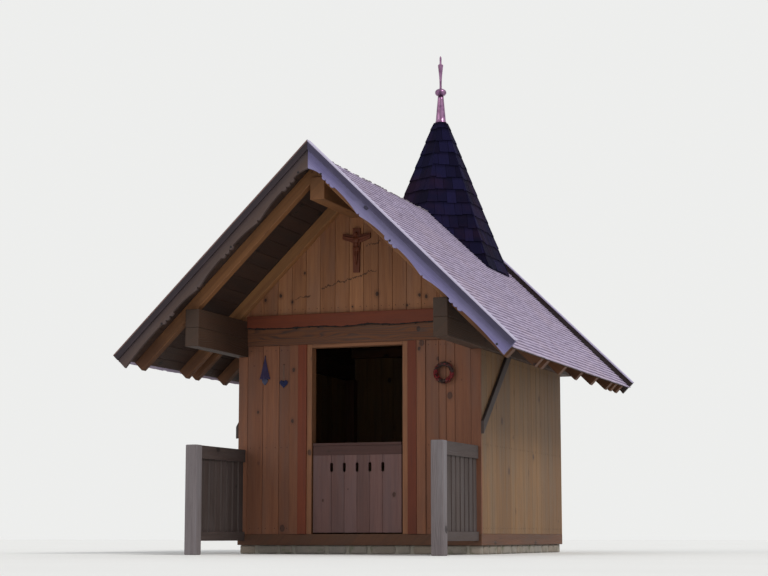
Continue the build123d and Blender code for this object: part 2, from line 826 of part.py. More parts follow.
with BuildPart() as gate_boards:
    beam(gate_left, gate_right, gate_face, gate_back, gate_bottom, gate_rail_bottom)
    with BuildSketch(section_at(gate_back)):
        for index in range(gate_slot_count):
            with Locations((gate_slot_pitch * (index - (gate_slot_count - 1) / 2), slot_level)):
                SlotOverall(gate_slot_height, gate_slot_width, rotation=90)
    extrude(amount=gate_board_thickness, mode=Mode.SUBTRACT)
keep(gate_boards, "gate_boards")

with BuildPart() as gate_top_rail:
    beam(gate_left, gate_right, gate_face - gate_rail_cap_proud, frame_back, cap_bottom, gate_top_level)
    beam(gate_left, gate_right, gate_face, frame_back, gate_rail_bottom, cap_bottom)
keep(gate_top_rail, "gate_top_rail")

with BuildPart() as gate_frame:
    for near, far in ((gate_left, gate_left + gate_stile_width), (gate_right - gate_stile_width, gate_right)):
        beam(near, far, gate_back, frame_back, gate_bottom, gate_rail_bottom)
    beam(gate_left + gate_stile_width, gate_right - gate_stile_width, gate_back, frame_back, gate_bottom,
         gate_bottom + gate_stile_width)
keep(gate_frame, "gate_frame")

# Strap hinges turn on pins that stand on brackets at the left lining
hinge_x = -door_half + eye_radius + hinge_gap
hinge_y = frame_back + eye_radius + hinge_gap
hinge_levels = (gate_bottom + gate_stile_width / 2 - strap_height / 2,
                gate_rail_bottom + top_strap_above_rail_foot)

with BuildPart() as gate_straps:
    for level in hinge_levels:
        beam(hinge_x, gate_left + strap_length, frame_back, frame_back + strap_thickness,
             level, level + strap_height)
        with BuildSketch(Plane.XY.offset(level)):
            with Locations((hinge_x, hinge_y)):
                Circle(eye_radius)
        extrude(amount=strap_height)
        with BuildSketch(Plane.XY.offset(level)):
            with Locations((hinge_x, hinge_y)):
                Circle(pin_radius + eye_clearance)
        extrude(amount=strap_height, mode=Mode.SUBTRACT)
keep(gate_straps, "gate_straps")

with BuildPart() as gate_pintles:
    for level in hinge_levels:
        with BuildSketch(Plane.XY.offset(level - eye_clearance - pintle_bracket_height)):
            with Locations((hinge_x, hinge_y)):
                Circle(pin_radius)
        extrude(amount=pintle_bracket_height + strap_height)
        beam(-door_half, hinge_x + pin_radius, hinge_y - pin_radius, hinge_y + pin_radius,
             level - eye_clearance - pintle_bracket_height, level - eye_clearance)
keep(gate_pintles, "gate_pintles")

print("pieces", len(nodes))
print("ridge of the shingles", round(shingle_crest), "top", round(spike_top))
print("hinge axis", round(hinge_x, 1), round(hinge_y, 1))
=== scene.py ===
import random
from math import atan, cos, degrees, pi, radians, sin, tan

import bmesh
import bpy
from mathutils import Matrix, Vector, noise


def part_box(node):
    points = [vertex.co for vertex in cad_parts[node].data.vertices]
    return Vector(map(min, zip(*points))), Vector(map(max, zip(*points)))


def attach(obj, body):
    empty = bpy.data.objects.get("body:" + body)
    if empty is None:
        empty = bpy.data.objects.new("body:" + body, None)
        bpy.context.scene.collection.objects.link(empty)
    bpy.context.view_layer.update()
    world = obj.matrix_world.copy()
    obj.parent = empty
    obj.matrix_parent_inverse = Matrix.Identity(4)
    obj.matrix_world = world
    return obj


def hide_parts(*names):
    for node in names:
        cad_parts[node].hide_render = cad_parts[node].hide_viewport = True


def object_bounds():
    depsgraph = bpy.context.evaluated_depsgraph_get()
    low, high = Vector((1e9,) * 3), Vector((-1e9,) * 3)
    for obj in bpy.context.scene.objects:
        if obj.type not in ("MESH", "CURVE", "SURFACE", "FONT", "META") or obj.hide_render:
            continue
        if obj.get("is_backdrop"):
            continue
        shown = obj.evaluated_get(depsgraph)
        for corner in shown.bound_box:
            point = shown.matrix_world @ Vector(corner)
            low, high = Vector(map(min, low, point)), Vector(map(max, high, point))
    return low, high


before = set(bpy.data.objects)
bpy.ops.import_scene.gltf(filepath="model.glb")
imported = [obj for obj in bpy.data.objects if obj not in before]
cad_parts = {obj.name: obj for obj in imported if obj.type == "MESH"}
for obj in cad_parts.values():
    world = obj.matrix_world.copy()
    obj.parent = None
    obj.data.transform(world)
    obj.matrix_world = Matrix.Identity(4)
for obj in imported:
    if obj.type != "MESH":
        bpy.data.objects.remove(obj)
cad_low, cad_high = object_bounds()

# Metres, in the frame of the CAD part: +Z up, the front gable faces -Y, the ridge runs along Y.
ROOF_PITCH = radians(44.3)
SLOPE = tan(ROOF_PITCH)
SLOPE_COS = cos(ROOF_PITCH)
SLOPE_SIN = sin(ROOF_PITCH)
CHAPEL = "chapel"
GATE = "gate"


def srgb(red, green, blue):
    """A colour from 0 to 255, as a screen shows it, in linear values."""
    linear = []
    for value in (red, green, blue):
        share = value / 255
        linear.append(share / 12.92 if share <= 0.04045 else ((share + 0.055) / 1.055) ** 2.4)
    return (*linear, 1.0)


# Node materials


class Tree:
    """Short calls that add nodes to a material or a world."""

    def __init__(self, owner):
        owner.use_nodes = True
        self.nodes, self.links = owner.node_tree.nodes, owner.node_tree.links

    def put(self, socket, value):
        if isinstance(value, bpy.types.NodeSocket):
            self.links.new(value, socket)
        else:
            socket.default_value = value

    def add(self, kind, inputs, settings=None):
        node = self.nodes.new(kind)
        for key, value in (settings or {}).items():
            setattr(node, key, value)
        for key, value in inputs.items():
            self.put(node.inputs[key], value)
        return node


class Surface(Tree):
    """A material with one shader and the nodes that feed it."""

    def __init__(self, name, **sockets):
        self.material = bpy.data.materials.new(name)
        super().__init__(self.material)
        self.shader = self.nodes["Principled BSDF"]
        for socket, value in sockets.items():
            self.put(self.shader.inputs[socket.replace("_", " ")], value)

    def attribute(self, name, output="Fac"):
        return self.add("ShaderNodeAttribute", {}, {"attribute_name": name}).outputs[output]

    def position(self):
        return self.add("ShaderNodeNewGeometry", {}).outputs["Position"]

    def x_and_z(self):
        x, _, z = self.add("ShaderNodeSeparateXYZ", {0: self.position()}).outputs
        return x, z

    def math(self, operation, first, second=0.0):
        return self.add("ShaderNodeMath", {0: first, 1: second}, {"operation": operation}).outputs[0]

    def times(self, first, second):
        return self.math("MULTIPLY", first, second)

    def plus(self, first, second):
        return self.math("ADD", first, second)

    def minus(self, first, second):
        return self.math("SUBTRACT", first, second)

    def sway(self, share, reach):
        """A share from 0 to 1, turned into a length to either side of 0."""
        return self.times(self.minus(share, 0.5), reach)

    def vector(self, operation, first, second=(0, 0, 0)):
        return self.add("ShaderNodeVectorMath", {0: first, 1: second}, {"operation": operation}).outputs[0]

    def noise(self, vector, scale=1.0, detail=3.0, roughness=0.55):
        inputs = {"Vector": vector, "Scale": scale, "Detail": detail, "Roughness": roughness}
        return self.add("ShaderNodeTexNoise", inputs).outputs["Fac"]

    def cloud(self, scale, detail=3.0, roughness=0.55):
        """Noise that is fixed in space, whatever the board."""
        return self.noise(self.position(), scale, detail, roughness)

    def stretched(self, vector, scales, detail=3.0, roughness=0.55):
        """Noise with a scale of its own along each axis."""
        return self.noise(self.vector("MULTIPLY", vector, scales), 1.0, detail, roughness)

    def step(self, value, low, high, to_low=0.0, to_high=1.0):
        inputs = {"Value": value, "From Min": low, "From Max": high, "To Min": to_low, "To Max": to_high}
        return self.add("ShaderNodeMapRange", inputs, {"interpolation_type": "SMOOTHSTEP"}).outputs[0]

    def mix(self, factor, first, second, blend="MIX"):
        """Colours are sockets, three numbers from 0 to 255 or four linear ones."""
        inputs = {0: factor}
        for key, colour in ((6, first), (7, second)):
            inputs[key] = srgb(*colour) if isinstance(colour, tuple) and len(colour) == 3 else colour
        settings = {"data_type": "RGBA", "blend_type": blend}
        return self.add("ShaderNodeMix", inputs, settings).outputs[2]

    def tinted(self, colour, share, tint):
        """The colour multiplied by a tint, to the given share."""
        return self.mix(share, colour, self.mix(1.0, colour, (*tint, 1), "MULTIPLY"))

    def finish(self, colour, rough, height, strength, depth):
        """Sets the shader's colour, its roughness and a bump of a height, and returns the material."""
        bump = self.add("ShaderNodeBump", {"Height": height, "Strength": strength, "Distance": depth})
        for socket, value in (("Base Color", colour), ("Roughness", rough), ("Normal", bump.outputs[0])):
            self.put(self.shader.inputs[socket], value)
        return self.material


def wood(name, light, dark, knot, grey, weather=0.3, rings=125.0, knots=0.22, rough=0.72, relief=0.6,
         tone_range=0.7, sweep=13.0, contrast=0.42, extra=None):
    """Sawn wood. Attribute grain holds metres along, across and through the board, tone a share for each.

    Colours run from 0 to 255. On end grain, where attribute end is 1, grain holds metres from the pith.
    extra may add marks of its own.
    """
    s = Surface(name)
    grain = s.attribute("grain", "Vector")
    tone = s.attribute("tone")
    knot_scale = 6.0
    flat = s.vector("MULTIPLY", grain, (0.75, 1, 0))
    cells = s.add("ShaderNodeTexVoronoi", {"Vector": flat, "Scale": knot_scale},
                  {"voronoi_dimensions": "2D", "feature": "F1"})
    pick = s.add("ShaderNodeSeparateColor", {"Color": cells.outputs["Color"]})
    distance = s.math("DIVIDE", cells.outputs["Distance"], knot_scale)
    distance = s.plus(distance, s.sway(s.noise(grain, 60, 3), 0.016))
    size = s.step(pick.outputs[1], 0, 1, 0.004, 0.021)
    chosen = s.step(pick.outputs[0], 1 - knots, 1 - knots + 0.02)
    share = s.math("DIVIDE", distance, size)
    halo = s.times(s.step(share, 5.0, 0.6), chosen)
    core = s.times(s.step(share, 1.05, 0.8), chosen)
    rim = s.times(s.times(s.step(share, 1.5, 1.05), s.step(share, 0.55, 0.95)), chosen)
    away = s.vector("SUBTRACT", flat, cells.outputs["Position"])
    pull = s.add("ShaderNodeVectorMath", {0: away, "Scale": s.times(halo, 0.62)}, {"operation": "SCALE"})
    bent = s.vector("SUBTRACT", grain, pull.outputs[0])

    drift = s.stretched(bent, (0.9, 5.0, 5.0), 2.0)
    across = s.add("ShaderNodeSeparateXYZ", {0: bent}).outputs[1]
    from_pith = s.add("ShaderNodeVectorMath", {0: s.vector("MULTIPLY", grain, (1, 1, 0))},
                      {"operation": "LENGTH"}).outputs["Value"]
    end = s.attribute("end")
    place = s.plus(s.times(across, s.minus(1.0, end)), s.times(from_pith, end))
    phase = s.plus(s.times(place, rings), s.times(drift, sweep))
    ring = s.math("FRACT", phase)
    latewood = s.times(s.step(ring, 0.35, 0.88), s.step(ring, 1.0, 0.93))
    fibre = s.stretched(bent, (7, 420, 420), 3.0, 0.6)
    streak = s.stretched(grain, (1.6, 34, 34), 3.0, 0.6)
    crack = s.step(s.stretched(grain, (1.7, 95, 60), 2.0), 0.74, 0.78)

    shade = s.times(latewood, contrast)
    shade = s.plus(shade, s.step(fibre, 0.3, 0.75, 0, 0.30))
    shade = s.plus(shade, s.step(streak, 0.35, 0.8, 0, 0.38))
    base = s.mix(shade, light, dark)
    base = s.tinted(base, s.times(s.step(tone, 0.1, 1), tone_range), (0.62, 0.56, 0.53))
    blotch = s.stretched(grain, (1.1, 6, 6), 4.0, 0.6)
    base = s.mix(s.times(s.step(blotch, 0.38, 0.72), weather), base, grey)
    base = s.mix(s.times(s.step(share, 3.2, 1.0), s.times(chosen, 0.35)), base, dark)
    base = s.mix(s.times(core, 0.9), base, s.mix(0.8, dark, knot))
    base = s.mix(s.times(rim, 0.85), base, knot)
    base = s.mix(s.times(crack, 0.75), base, knot)
    base = s.mix(s.times(end, 0.35), base, dark)
    if extra:
        base = extra(s, base)
    gloss = s.step(s.plus(latewood, fibre), 0.2, 1.6, min(1.0, rough + 0.12), rough - 0.12)
    height = s.plus(s.times(latewood, 0.35), s.times(fibre, 0.5))
    height = s.plus(s.minus(height, s.times(crack, 1.6)), s.times(core, 0.4))
    return s.finish(base, gloss, height, relief, 0.0016)


def knots_at(places):
    """Adds dark knots, each at its x and z on a front face with its radius, to a wood material."""
    def extra(s, base):
        x, z = s.x_and_z()
        rough_edge = s.sway(s.cloud(55, 3.0), 0.014)
        for knot_x, knot_z, radius in places:
            aside = s.math("ABSOLUTE", s.minus(x, knot_x))
            above = s.times(s.math("ABSOLUTE", s.minus(z, knot_z)), 0.75)
            squares = s.plus(s.times(aside, aside), s.times(above, above))
            distance = s.plus(s.math("SQRT", squares), rough_edge)
            halo = s.step(distance, radius * 2.6, radius, 0, 0.35)
            base = s.mix(halo, base, (84, 50, 32))
            base = s.mix(s.step(distance, radius, radius * 0.7, 0, 0.9), base, (44, 25, 17))
        return base
    return extra


GABLE_KNOTS = knots_at(((-0.758, 2.369, 0.016), (-0.913, 2.335, 0.015), (-0.641, 2.306, 0.013),
                        (-0.518, 2.570, 0.011), (0.197, 2.344, 0.018), (0.603, 2.314, 0.014),
                        (0.669, 2.297, 0.015), (0.485, 2.225, 0.012), (-0.043, 2.235, 0.009)))
WALL_KNOTS = knots_at(((0.602, 1.829, 0.016), (-0.620, 1.675, 0.016), (-0.628, 1.204, 0.015),
                       (-0.977, 1.295, 0.013)))


def gable_marks(s, base):
    """Knots, and short dark wavy marks that climb across the gable boards below and beside the crucifix."""
    base = GABLE_KNOTS(s, base)
    x, z = s.x_and_z()
    wave = s.sway(s.stretched(s.position(), (13, 0, 0), 3.0, 0.7), 0.13)
    breakup = s.stretched(s.position(), (30, 0, 30), 2.0)
    for x_from, x_to, z_from, z_to in ((-0.36, 0.20, 2.415, 2.565), (0.08, 0.24, 2.785, 2.83),
                                       (-0.62, -0.45, 2.33, 2.36)):
        rise = (z_to - z_from) / (x_to - x_from)
        line = s.plus(s.plus(s.times(s.minus(x, x_from), rise), z_from), wave)
        off = s.math("ABSOLUTE", s.minus(z, line))
        inside = s.times(s.step(x, x_from, x_from + 0.02), s.step(x, x_to, x_to - 0.02))
        thick = s.step(breakup, 0.36, 0.62, 0.0025, 0.009)
        mark = s.times(s.math("LESS_THAN", off, thick), inside)
        base = s.mix(s.times(mark, 0.8), base, (54, 30, 18))
    return base


def below_verge(s):
    """The distance from the roof's edge, square to the slope, and the same with a ragged waver."""
    x, z = s.x_and_z()
    fall = s.minus(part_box("verge_strips")[1].z, z)
    down = s.minus(s.times(fall, SLOPE_COS), s.times(s.math("ABSOLUTE", x), SLOPE_SIN))
    return down, s.plus(down, s.sway(s.cloud(9.0, 4.0, 0.65), 0.05))


def barge_shade_and_bleach(bleach):
    """Painted shade just under the verge strip, and a paler bleached zone below it."""
    def add_marks(s, base):
        down, ragged = below_verge(s)
        base = s.mix(s.step(ragged, 0.10, 0.19, 0, 0.35), base, bleach)
        # Painted shade: a ragged dark strip on the board just under the verge strip.
        band = s.math("MAXIMUM", s.step(ragged, 0.105, 0.070), s.step(down, 0.066, 0.058))
        return s.mix(s.times(band, 0.25), base, (30, 25, 42))
    return add_marks


def browner_shaded_left(s, base):
    """The left slope's edge boards are browner than the right ones, and darker as painted shade."""
    return s.tinted(base, s.math("LESS_THAN", s.x_and_z()[0], 0.0), (0.38, 0.24, 0.17))


def strip_shade_marks(s, base):
    """Painted shadow on the verge strips, dark just under their caps, with the left side's browner colour and
    painted shade.
    """
    # Painted shadow under the caps.
    cap_shadow = s.step(below_verge(s)[1], 0.062, 0.030)
    return browner_shaded_left(s, s.mix(s.times(cap_shadow, 0.7), base, (40, 35, 60)))


def shaded_tails(s, base):
    """Painted shade: rafter ends past the wall are browner and darker than the wood near the ridge."""
    reach = s.plus(s.math("ABSOLUTE", s.x_and_z()[0]), s.sway(s.cloud(5.0, 4.0, 0.6), 0.5))
    return s.tinted(base, s.step(reach, 1.15, 1.60, 0, 0.85), (0.34, 0.26, 0.22))


DARK_KNOT = (58, 34, 24)
GABLE_WOOD = wood("gable_boards_wood", (180, 124, 82), (122, 74, 46), DARK_KNOT, (124, 96, 84), weather=0.35,
                  knots=0.06, extra=gable_marks)
WALL_WOOD = wood("wall_boards_wood", (141, 89, 59), (96, 55, 37), DARK_KNOT, (99, 74, 64), weather=0.45,
                 knots=0.10, extra=WALL_KNOTS)
SIDE_WOOD = wood("side_boards_wood", (138, 102, 62), (88, 60, 34), DARK_KNOT, (98, 84, 68), weather=0.5,
                 knots=0.16)
RED_WOOD = wood("red_oiled_wood", (129, 57, 24), (83, 31, 10), (42, 18, 9), (75, 37, 24), knots=0.15)
TAN_WOOD = wood("tan_oiled_wood", (150, 100, 66), (100, 60, 38), DARK_KNOT, (96, 72, 58))
HEADER_WOOD = wood("header_board_wood", (123, 75, 44), (64, 35, 19), (42, 24, 17), (80, 57, 43), weather=0.4,
                   rings=34.0, sweep=15.0, contrast=0.6, knots=0.08, extra=knots_at(((0.599, 2.006, 0.022),)))
FRAME_WOOD = wood("frame_timber_wood", (118, 76, 48), (74, 44, 26), (40, 24, 16), (70, 54, 44), weather=0.45,
                  rings=90.0, knots=0.15)
PLATE_WOOD = wood("plate_wood", (74, 46, 26), (42, 26, 14), (26, 16, 9), (50, 37, 24), weather=0.45,
                  rings=90.0, knots=0.15)
RAFTER_WOOD = wood("rafter_wood", (164, 114, 68), (112, 70, 40), DARK_KNOT, (96, 70, 50), rings=100.0,
                   knots=0.15, extra=shaded_tails)
# Painted shade: the soffit boards are darker than the rafters they lie on.
SOFFIT_WOOD = wood("soffit_wood", (64, 40, 28), (38, 23, 15), (22, 13, 9), (40, 30, 26), weather=0.5)
FLOOR_WOOD = wood("floor_wood", (112, 84, 62), (72, 50, 36), (36, 24, 18), (96, 84, 74), weather=0.6)
OUTDOORS = {"rings": 95.0, "relief": 0.9}
BARGE_WOOD = wood("bargeboard_wood", (134, 129, 180), (88, 83, 126), (40, 34, 46), (120, 115, 146),
                  weather=0.7, knots=0.08, rough=0.8, **OUTDOORS, extra=barge_shade_and_bleach((164, 159, 196)))
# The left bargeboard: browner wood, darkened as painted shade.
BROWN_SHADED_BARGE_WOOD = wood("brown_shaded_bargeboard_wood", (78, 60, 54), (45, 32, 28), (26, 18, 17), (74, 63, 63),
                        weather=0.55, knots=0.08, rough=0.8, **OUTDOORS, extra=barge_shade_and_bleach((100, 86, 85)))
STRIP_WOOD = wood("verge_strip_wood", (98, 93, 130), (60, 55, 84), (30, 25, 38), (84, 80, 106), weather=0.6,
                  knots=0.05, rough=0.8, **OUTDOORS, extra=strip_shade_marks)
DARK_WOOD = wood("dark_weathered_wood", (74, 60, 56), (40, 30, 28), (20, 14, 12), (78, 70, 70), weather=0.55,
                 knots=0.1, rough=0.82, **OUTDOORS)
POST_WOOD = wood("grey_post_wood", (122, 114, 116), (78, 70, 72), (36, 28, 28), (118, 114, 118), weather=0.7,
                 knots=0.12, rough=0.85, **OUTDOORS)
PALE_WOOD = wood("pale_edge_wood", (198, 191, 214), (150, 142, 168), (70, 62, 68), (178, 173, 194),
                 weather=0.6, knots=0.04, rough=0.85, **OUTDOORS, extra=browner_shaded_left)
GATE_WOOD = wood("gate_wood", (121, 88, 83), (80, 53, 50), DARK_KNOT, (90, 75, 78), weather=0.45)
GATE_RAIL_WOOD = wood("gate_rail_wood", (88, 54, 48), (53, 29, 26), DARK_KNOT, (63, 46, 44))
CROSS_WOOD = wood("carved_cross_wood", (124, 58, 24), (72, 28, 10), (30, 12, 6), (92, 46, 22), rings=160.0,
                  knots=0.0, rough=0.6, relief=0.4)


def shingle_wood(name, light, dark, moss, tint, rough, lichen_share, covered, gloss):
    """Split shingles: each has its own tone, fibres run along it, and lichen grows in patches.

    Attribute down runs from 0 at the head to 1 at the butt. Dirt and painted shade darken each shingle just
    below the share that the next course covers.
    """
    s = Surface(name, Specular_IOR_Level=gloss)
    grain = s.attribute("grain", "Vector")
    tone = s.attribute("tone")
    fibre = s.stretched(grain, (9, 300, 90), 3.0, 0.65)
    groove = s.stretched(grain, (4, 95, 40), 2.0, 0.6)
    base = s.mix(s.step(tone, 0.0, 1.0), light, dark)
    base = s.mix(s.step(fibre, 0.35, 0.7, 0, 0.45), base, dark)
    base = s.mix(s.step(groove, 0.55, 0.7, 0, 0.4), base, dark)
    patch = s.cloud(1.9, 4.0, 0.6)
    base = s.mix(s.step(patch, 0.42, 0.7, 0, 0.5), base, tint)
    # Dirt and painted shade under the butt of the course above.
    dirt_and_butt_shade = s.step(s.plus(s.attribute("down"), s.sway(fibre, 0.12)), covered + 0.19, covered + 0.04)
    base = s.tinted(base, s.times(dirt_and_butt_shade, 0.55), (0.30, 0.27, 0.32))
    lichen = s.step(s.cloud(26.0, 3.0, 0.65), 0.64, 0.70)
    region = s.step(s.cloud(2.6, 2.0), 0.45, 0.62)
    lichen = s.times(s.times(lichen, region), lichen_share)
    height = s.plus(s.plus(s.times(fibre, 0.6), s.times(groove, 0.8)), s.times(lichen, 0.8))
    shine = s.step(fibre, 0.2, 0.9, min(1.0, rough + 0.1), rough - 0.1)
    return s.finish(s.mix(lichen, base, moss), shine, height, 0.7, 0.0018)


ROOF_SHINGLES = shingle_wood("weathered_roof_shingles", (184, 172, 196), (163, 151, 174), (194, 196, 186),
                             (178, 162, 178), 0.85, 0.4, covered=0.476, gloss=0.2)
SPIRE_SHINGLES = shingle_wood("dark_spire_shingles", (25, 23, 53), (13, 11, 30), (38, 36, 52), (42, 23, 38),
                              0.9, 0.12, covered=0.333, gloss=0.06)


def stone_surface():
    s = Surface("field_stone")
    cloud, speck = s.cloud(9.0, 5.0, 0.65), s.cloud(140.0, 3.0, 0.7)
    base = s.mix(cloud, (104, 100, 94), (158, 152, 142))
    base = s.mix(s.times(s.attribute("tone"), 0.5), base, (126, 108, 90))
    base = s.mix(s.step(speck, 0.55, 0.75, 0, 0.6), base, (66, 64, 60))
    moss = s.step(s.cloud(7.0, 4.0, 0.6), 0.55, 0.68, 0, 0.5)
    return s.finish(s.mix(moss, base, (84, 92, 58)), s.step(speck, 0.2, 0.8, 0.95, 0.75),
                    s.plus(cloud, s.times(speck, 0.4)), 0.8, 0.006)


def mortar_surface():
    s = Surface("lime_mortar")
    cloud, sand = s.cloud(6.0, 4.0, 0.6), s.cloud(220.0, 3.0, 0.7)
    base = s.mix(cloud, (120, 114, 104), (164, 158, 146))
    base = s.mix(s.step(sand, 0.5, 0.8, 0, 0.5), base, (90, 84, 76))
    return s.finish(base, s.step(sand, 0.2, 0.8, 0.98, 0.85), sand, 0.6, 0.003)


def copper_surface():
    """Copper sheet in the open: pinkish bright metal with darker brown-violet bloom."""
    s = Surface("aged_copper", Metallic=0.85)
    bloom = s.cloud(14.0, 4.0, 0.6)
    streak = s.stretched(s.position(), (60, 60, 4), 3.0, 0.6)
    base = s.mix(s.step(bloom, 0.35, 0.7), (152, 114, 148), (104, 72, 104))
    base = s.mix(s.step(streak, 0.45, 0.75, 0, 0.6), base, (80, 36, 48))
    height = s.plus(bloom, s.times(streak, 0.5))
    return s.finish(base, s.step(bloom, 0.3, 0.75, 0.24, 0.46), height, 0.25, 0.002)


def iron_surface():
    s = Surface("forged_iron", Metallic=0.75)
    rust, hammered = s.cloud(30.0, 5.0, 0.7), s.cloud(90.0, 2.0, 0.5)
    base = s.mix(s.step(rust, 0.5, 0.72), (44, 42, 44), (98, 52, 32))
    return s.finish(base, s.step(rust, 0.3, 0.8, 0.45, 0.85), s.plus(hammered, rust), 0.5, 0.002)


def paint_surface():
    s = Surface("blue_grey_paint", Coat_Weight=0.15)
    worn, cloud = s.cloud(55.0, 4.0, 0.65), s.cloud(12.0, 3.0)
    base = s.mix(cloud, (24, 30, 62), (42, 46, 82))
    base = s.mix(s.step(worn, 0.60, 0.66), base, (18, 18, 34))
    return s.finish(base, s.step(worn, 0.4, 0.7, 0.4, 0.75), worn, 0.35, 0.001)


def plain_growth(name, light, dark, scale, rough):
    """Dried berries, leaves and twigs."""
    s = Surface(name)
    cloud = s.cloud(scale, 4.0, 0.6)
    shade = s.plus(s.times(cloud, 0.6), s.times(s.attribute("tone"), 0.5))
    base = s.mix(shade, light, dark)
    return s.finish(base, s.step(cloud, 0.3, 0.7, rough - 0.1, rough + 0.1), cloud, 0.4, 0.001)


def cloth_surface(name, light, dark):
    """Tightly woven, slightly fuzzy cloth."""
    s = Surface(name, Specular_IOR_Level=0.2, Sheen_Weight=0.15)
    cloud, weave = s.cloud(26.0, 3.0), s.stretched(s.position(), (900, 900, 500), 1.0)
    base = s.mix(s.times(weave, 0.35), s.mix(cloud, light, dark), dark)
    return s.finish(base, s.step(weave, 0.2, 0.8, 0.95, 0.8), weave, 0.4, 0.0006)


STONE = stone_surface()
MORTAR = mortar_surface()
COPPER = copper_surface()
IRON = iron_surface()
PAINT = paint_surface()
BERRIES = plain_growth("crimson_berries", (158, 12, 26), (66, 4, 12), 160.0, 0.45)
LEAVES = plain_growth("dark_leaves", (64, 34, 28), (28, 14, 14), 120.0, 0.6)
TWIGS = plain_growth("wreath_twigs", (70, 42, 32), (30, 16, 14), 140.0, 0.75)
STRING = plain_growth("pale_string", (150, 140, 128), (96, 88, 80), 300.0, 0.9)
HEART_CLOTH = cloth_surface("navy_heart_cloth", (46, 52, 92), (24, 26, 52))
DROP_CLOTH = cloth_surface("purple_drop_cloth", (64, 54, 86), (38, 30, 56))
BARK = plain_growth("dark_bark", (36, 20, 15), (14, 8, 6), 70.0, 0.9)
LICHEN = plain_growth("ridge_lichen", (160, 152, 158), (112, 104, 112), 90.0, 0.95)

# Mesh helpers


def new_mesh():
    """An empty mesh with the attributes that the wood and shingle materials read."""
    bm = bmesh.new()
    bm.verts.layers.float_vector.new("grain")
    bm.verts.layers.float.new("tone")
    bm.verts.layers.float.new("down")
    return bm


def add_object(name, data):
    made = bpy.data.objects.new(name, data)
    bpy.context.scene.collection.objects.link(made)
    return made


def random_offset(rng):
    return Vector((rng.uniform(0, 40), rng.uniform(0, 40), rng.uniform(0, 40)))


def add_vertex(bm, point, grain, tone, down=0.0):
    """On a shingle, down is the share of its length from the head to the point."""
    vertex = bm.verts.new(point)
    vertex[bm.verts.layers.float_vector["grain"]] = grain
    vertex[bm.verts.layers.float["tone"]] = tone
    vertex[bm.verts.layers.float["down"]] = down
    return vertex


def make_piece(name, bm, material, slot, replaces=(), body=CHAPEL, smooth=False):
    """Turns a mesh in the frame of the CAD part into a piece that rides on a body."""
    bmesh.ops.recalc_face_normals(bm, faces=bm.faces)
    mesh = bpy.data.meshes.new(name)
    bm.to_mesh(mesh)
    bm.free()
    mesh.materials.append(material)
    if smooth:
        mesh.polygons.foreach_set("use_smooth", [True] * len(mesh.polygons))
    piece = add_object(name, mesh)
    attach(piece, body)
    if replaces:
        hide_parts(*replaces)


def inset(outline, amount):
    """The same convex outline with each side moved inwards. The outline runs anticlockwise."""
    count = len(outline)
    moved = []
    for index in range(count):
        before = Vector(outline[index - 1])
        here = Vector(outline[index])
        after = Vector(outline[(index + 1) % count])
        first = (here - before).normalized()
        second = (after - here).normalized()
        bisector = Vector((-first.y - second.y, first.x + second.x))
        length = bisector.length
        if length < 1e-6:
            moved.append((here.x, here.y))
            continue
        bisector /= length
        reach = amount / max(0.3, bisector.dot(Vector((-second.y, second.x))))
        moved.append((here.x + bisector.x * reach, here.y + bisector.y * reach))
    return moved


def circle(steps, start=0.0):
    """The cosine and sine at equal steps of a full turn."""
    turns = [start + 2 * pi * step / steps for step in range(steps)]
    return [(cos(turn), sin(turn)) for turn in turns]


def rectangle(u_low, v_low, u_high, v_high):
    return [(u_low, v_low), (u_high, v_low), (u_high, v_high), (u_low, v_high)]


def add_ring(bm, points, tone=0.5):
    """Vertices whose grain is their place."""
    return [add_vertex(bm, point, point, tone) for point in points]


def join_rings(bm, rings):
    """Closes a solid: faces between rings of vertices that follow each other, and the two ends."""
    count = len(rings[0])
    for near, far in zip(rings[:-1], rings[1:]):
        for index in range(count):
            after = (index + 1) % count
            bm.faces.new((near[index], near[after], far[after], far[index]))
    bm.faces.new(rings[0][::-1])
    bm.faces.new(rings[-1])


def add_board(bm, outline, thickness, place, rng, chamfer=0.0025, tone=None):
    """A board with chamfered edges. place maps outline u, v and depth w into the frame, from its face on."""
    rings = [(inset(outline, chamfer), 0.0), (outline, chamfer), (outline, thickness - chamfer),
             (inset(outline, chamfer), thickness)]
    offset = random_offset(rng)
    tone = rng.random() if tone is None else tone
    join_rings(bm, [[add_vertex(bm, place @ Vector((u, v, depth)), offset + Vector((v, u, depth)), tone)
                     for u, v in ring] for ring, depth in rings])


def plane_at(origin, u_axis, v_axis, w_axis):
    """A matrix whose columns are the three axes, at an origin."""
    m = Matrix.Identity(4)
    for column, axis in enumerate((u_axis, v_axis, w_axis, origin)):
        for row in range(3):
            m[row][column] = axis[row]
    return m


def islands(bm):
    """The vertices of each separate part of a mesh."""
    seen = set()
    for start in bm.verts:
        if start in seen:
            continue
        group, stack = [], [start]
        seen.add(start)
        while stack:
            vertex = stack.pop()
            group.append(vertex)
            for edge in vertex.link_edges:
                other = edge.other_vert(vertex)
                if other not in seen:
                    seen.add(other)
                    stack.append(other)
        yield group


def everything(bm):
    return list(bm.verts) + list(bm.edges) + list(bm.faces)


def longest_direction(points):
    """The direction in which a cloud of points is longest, found by repeated projection."""
    centre = sum(points, Vector()) / len(points)
    best = max(points, key=lambda p: (p - centre).length)
    direction = (best - centre).normalized()
    for _ in range(30):
        total = Vector()
        for point in points:
            arm = point - centre
            total += arm * arm.dot(direction)
        direction = total.normalized()
    return direction


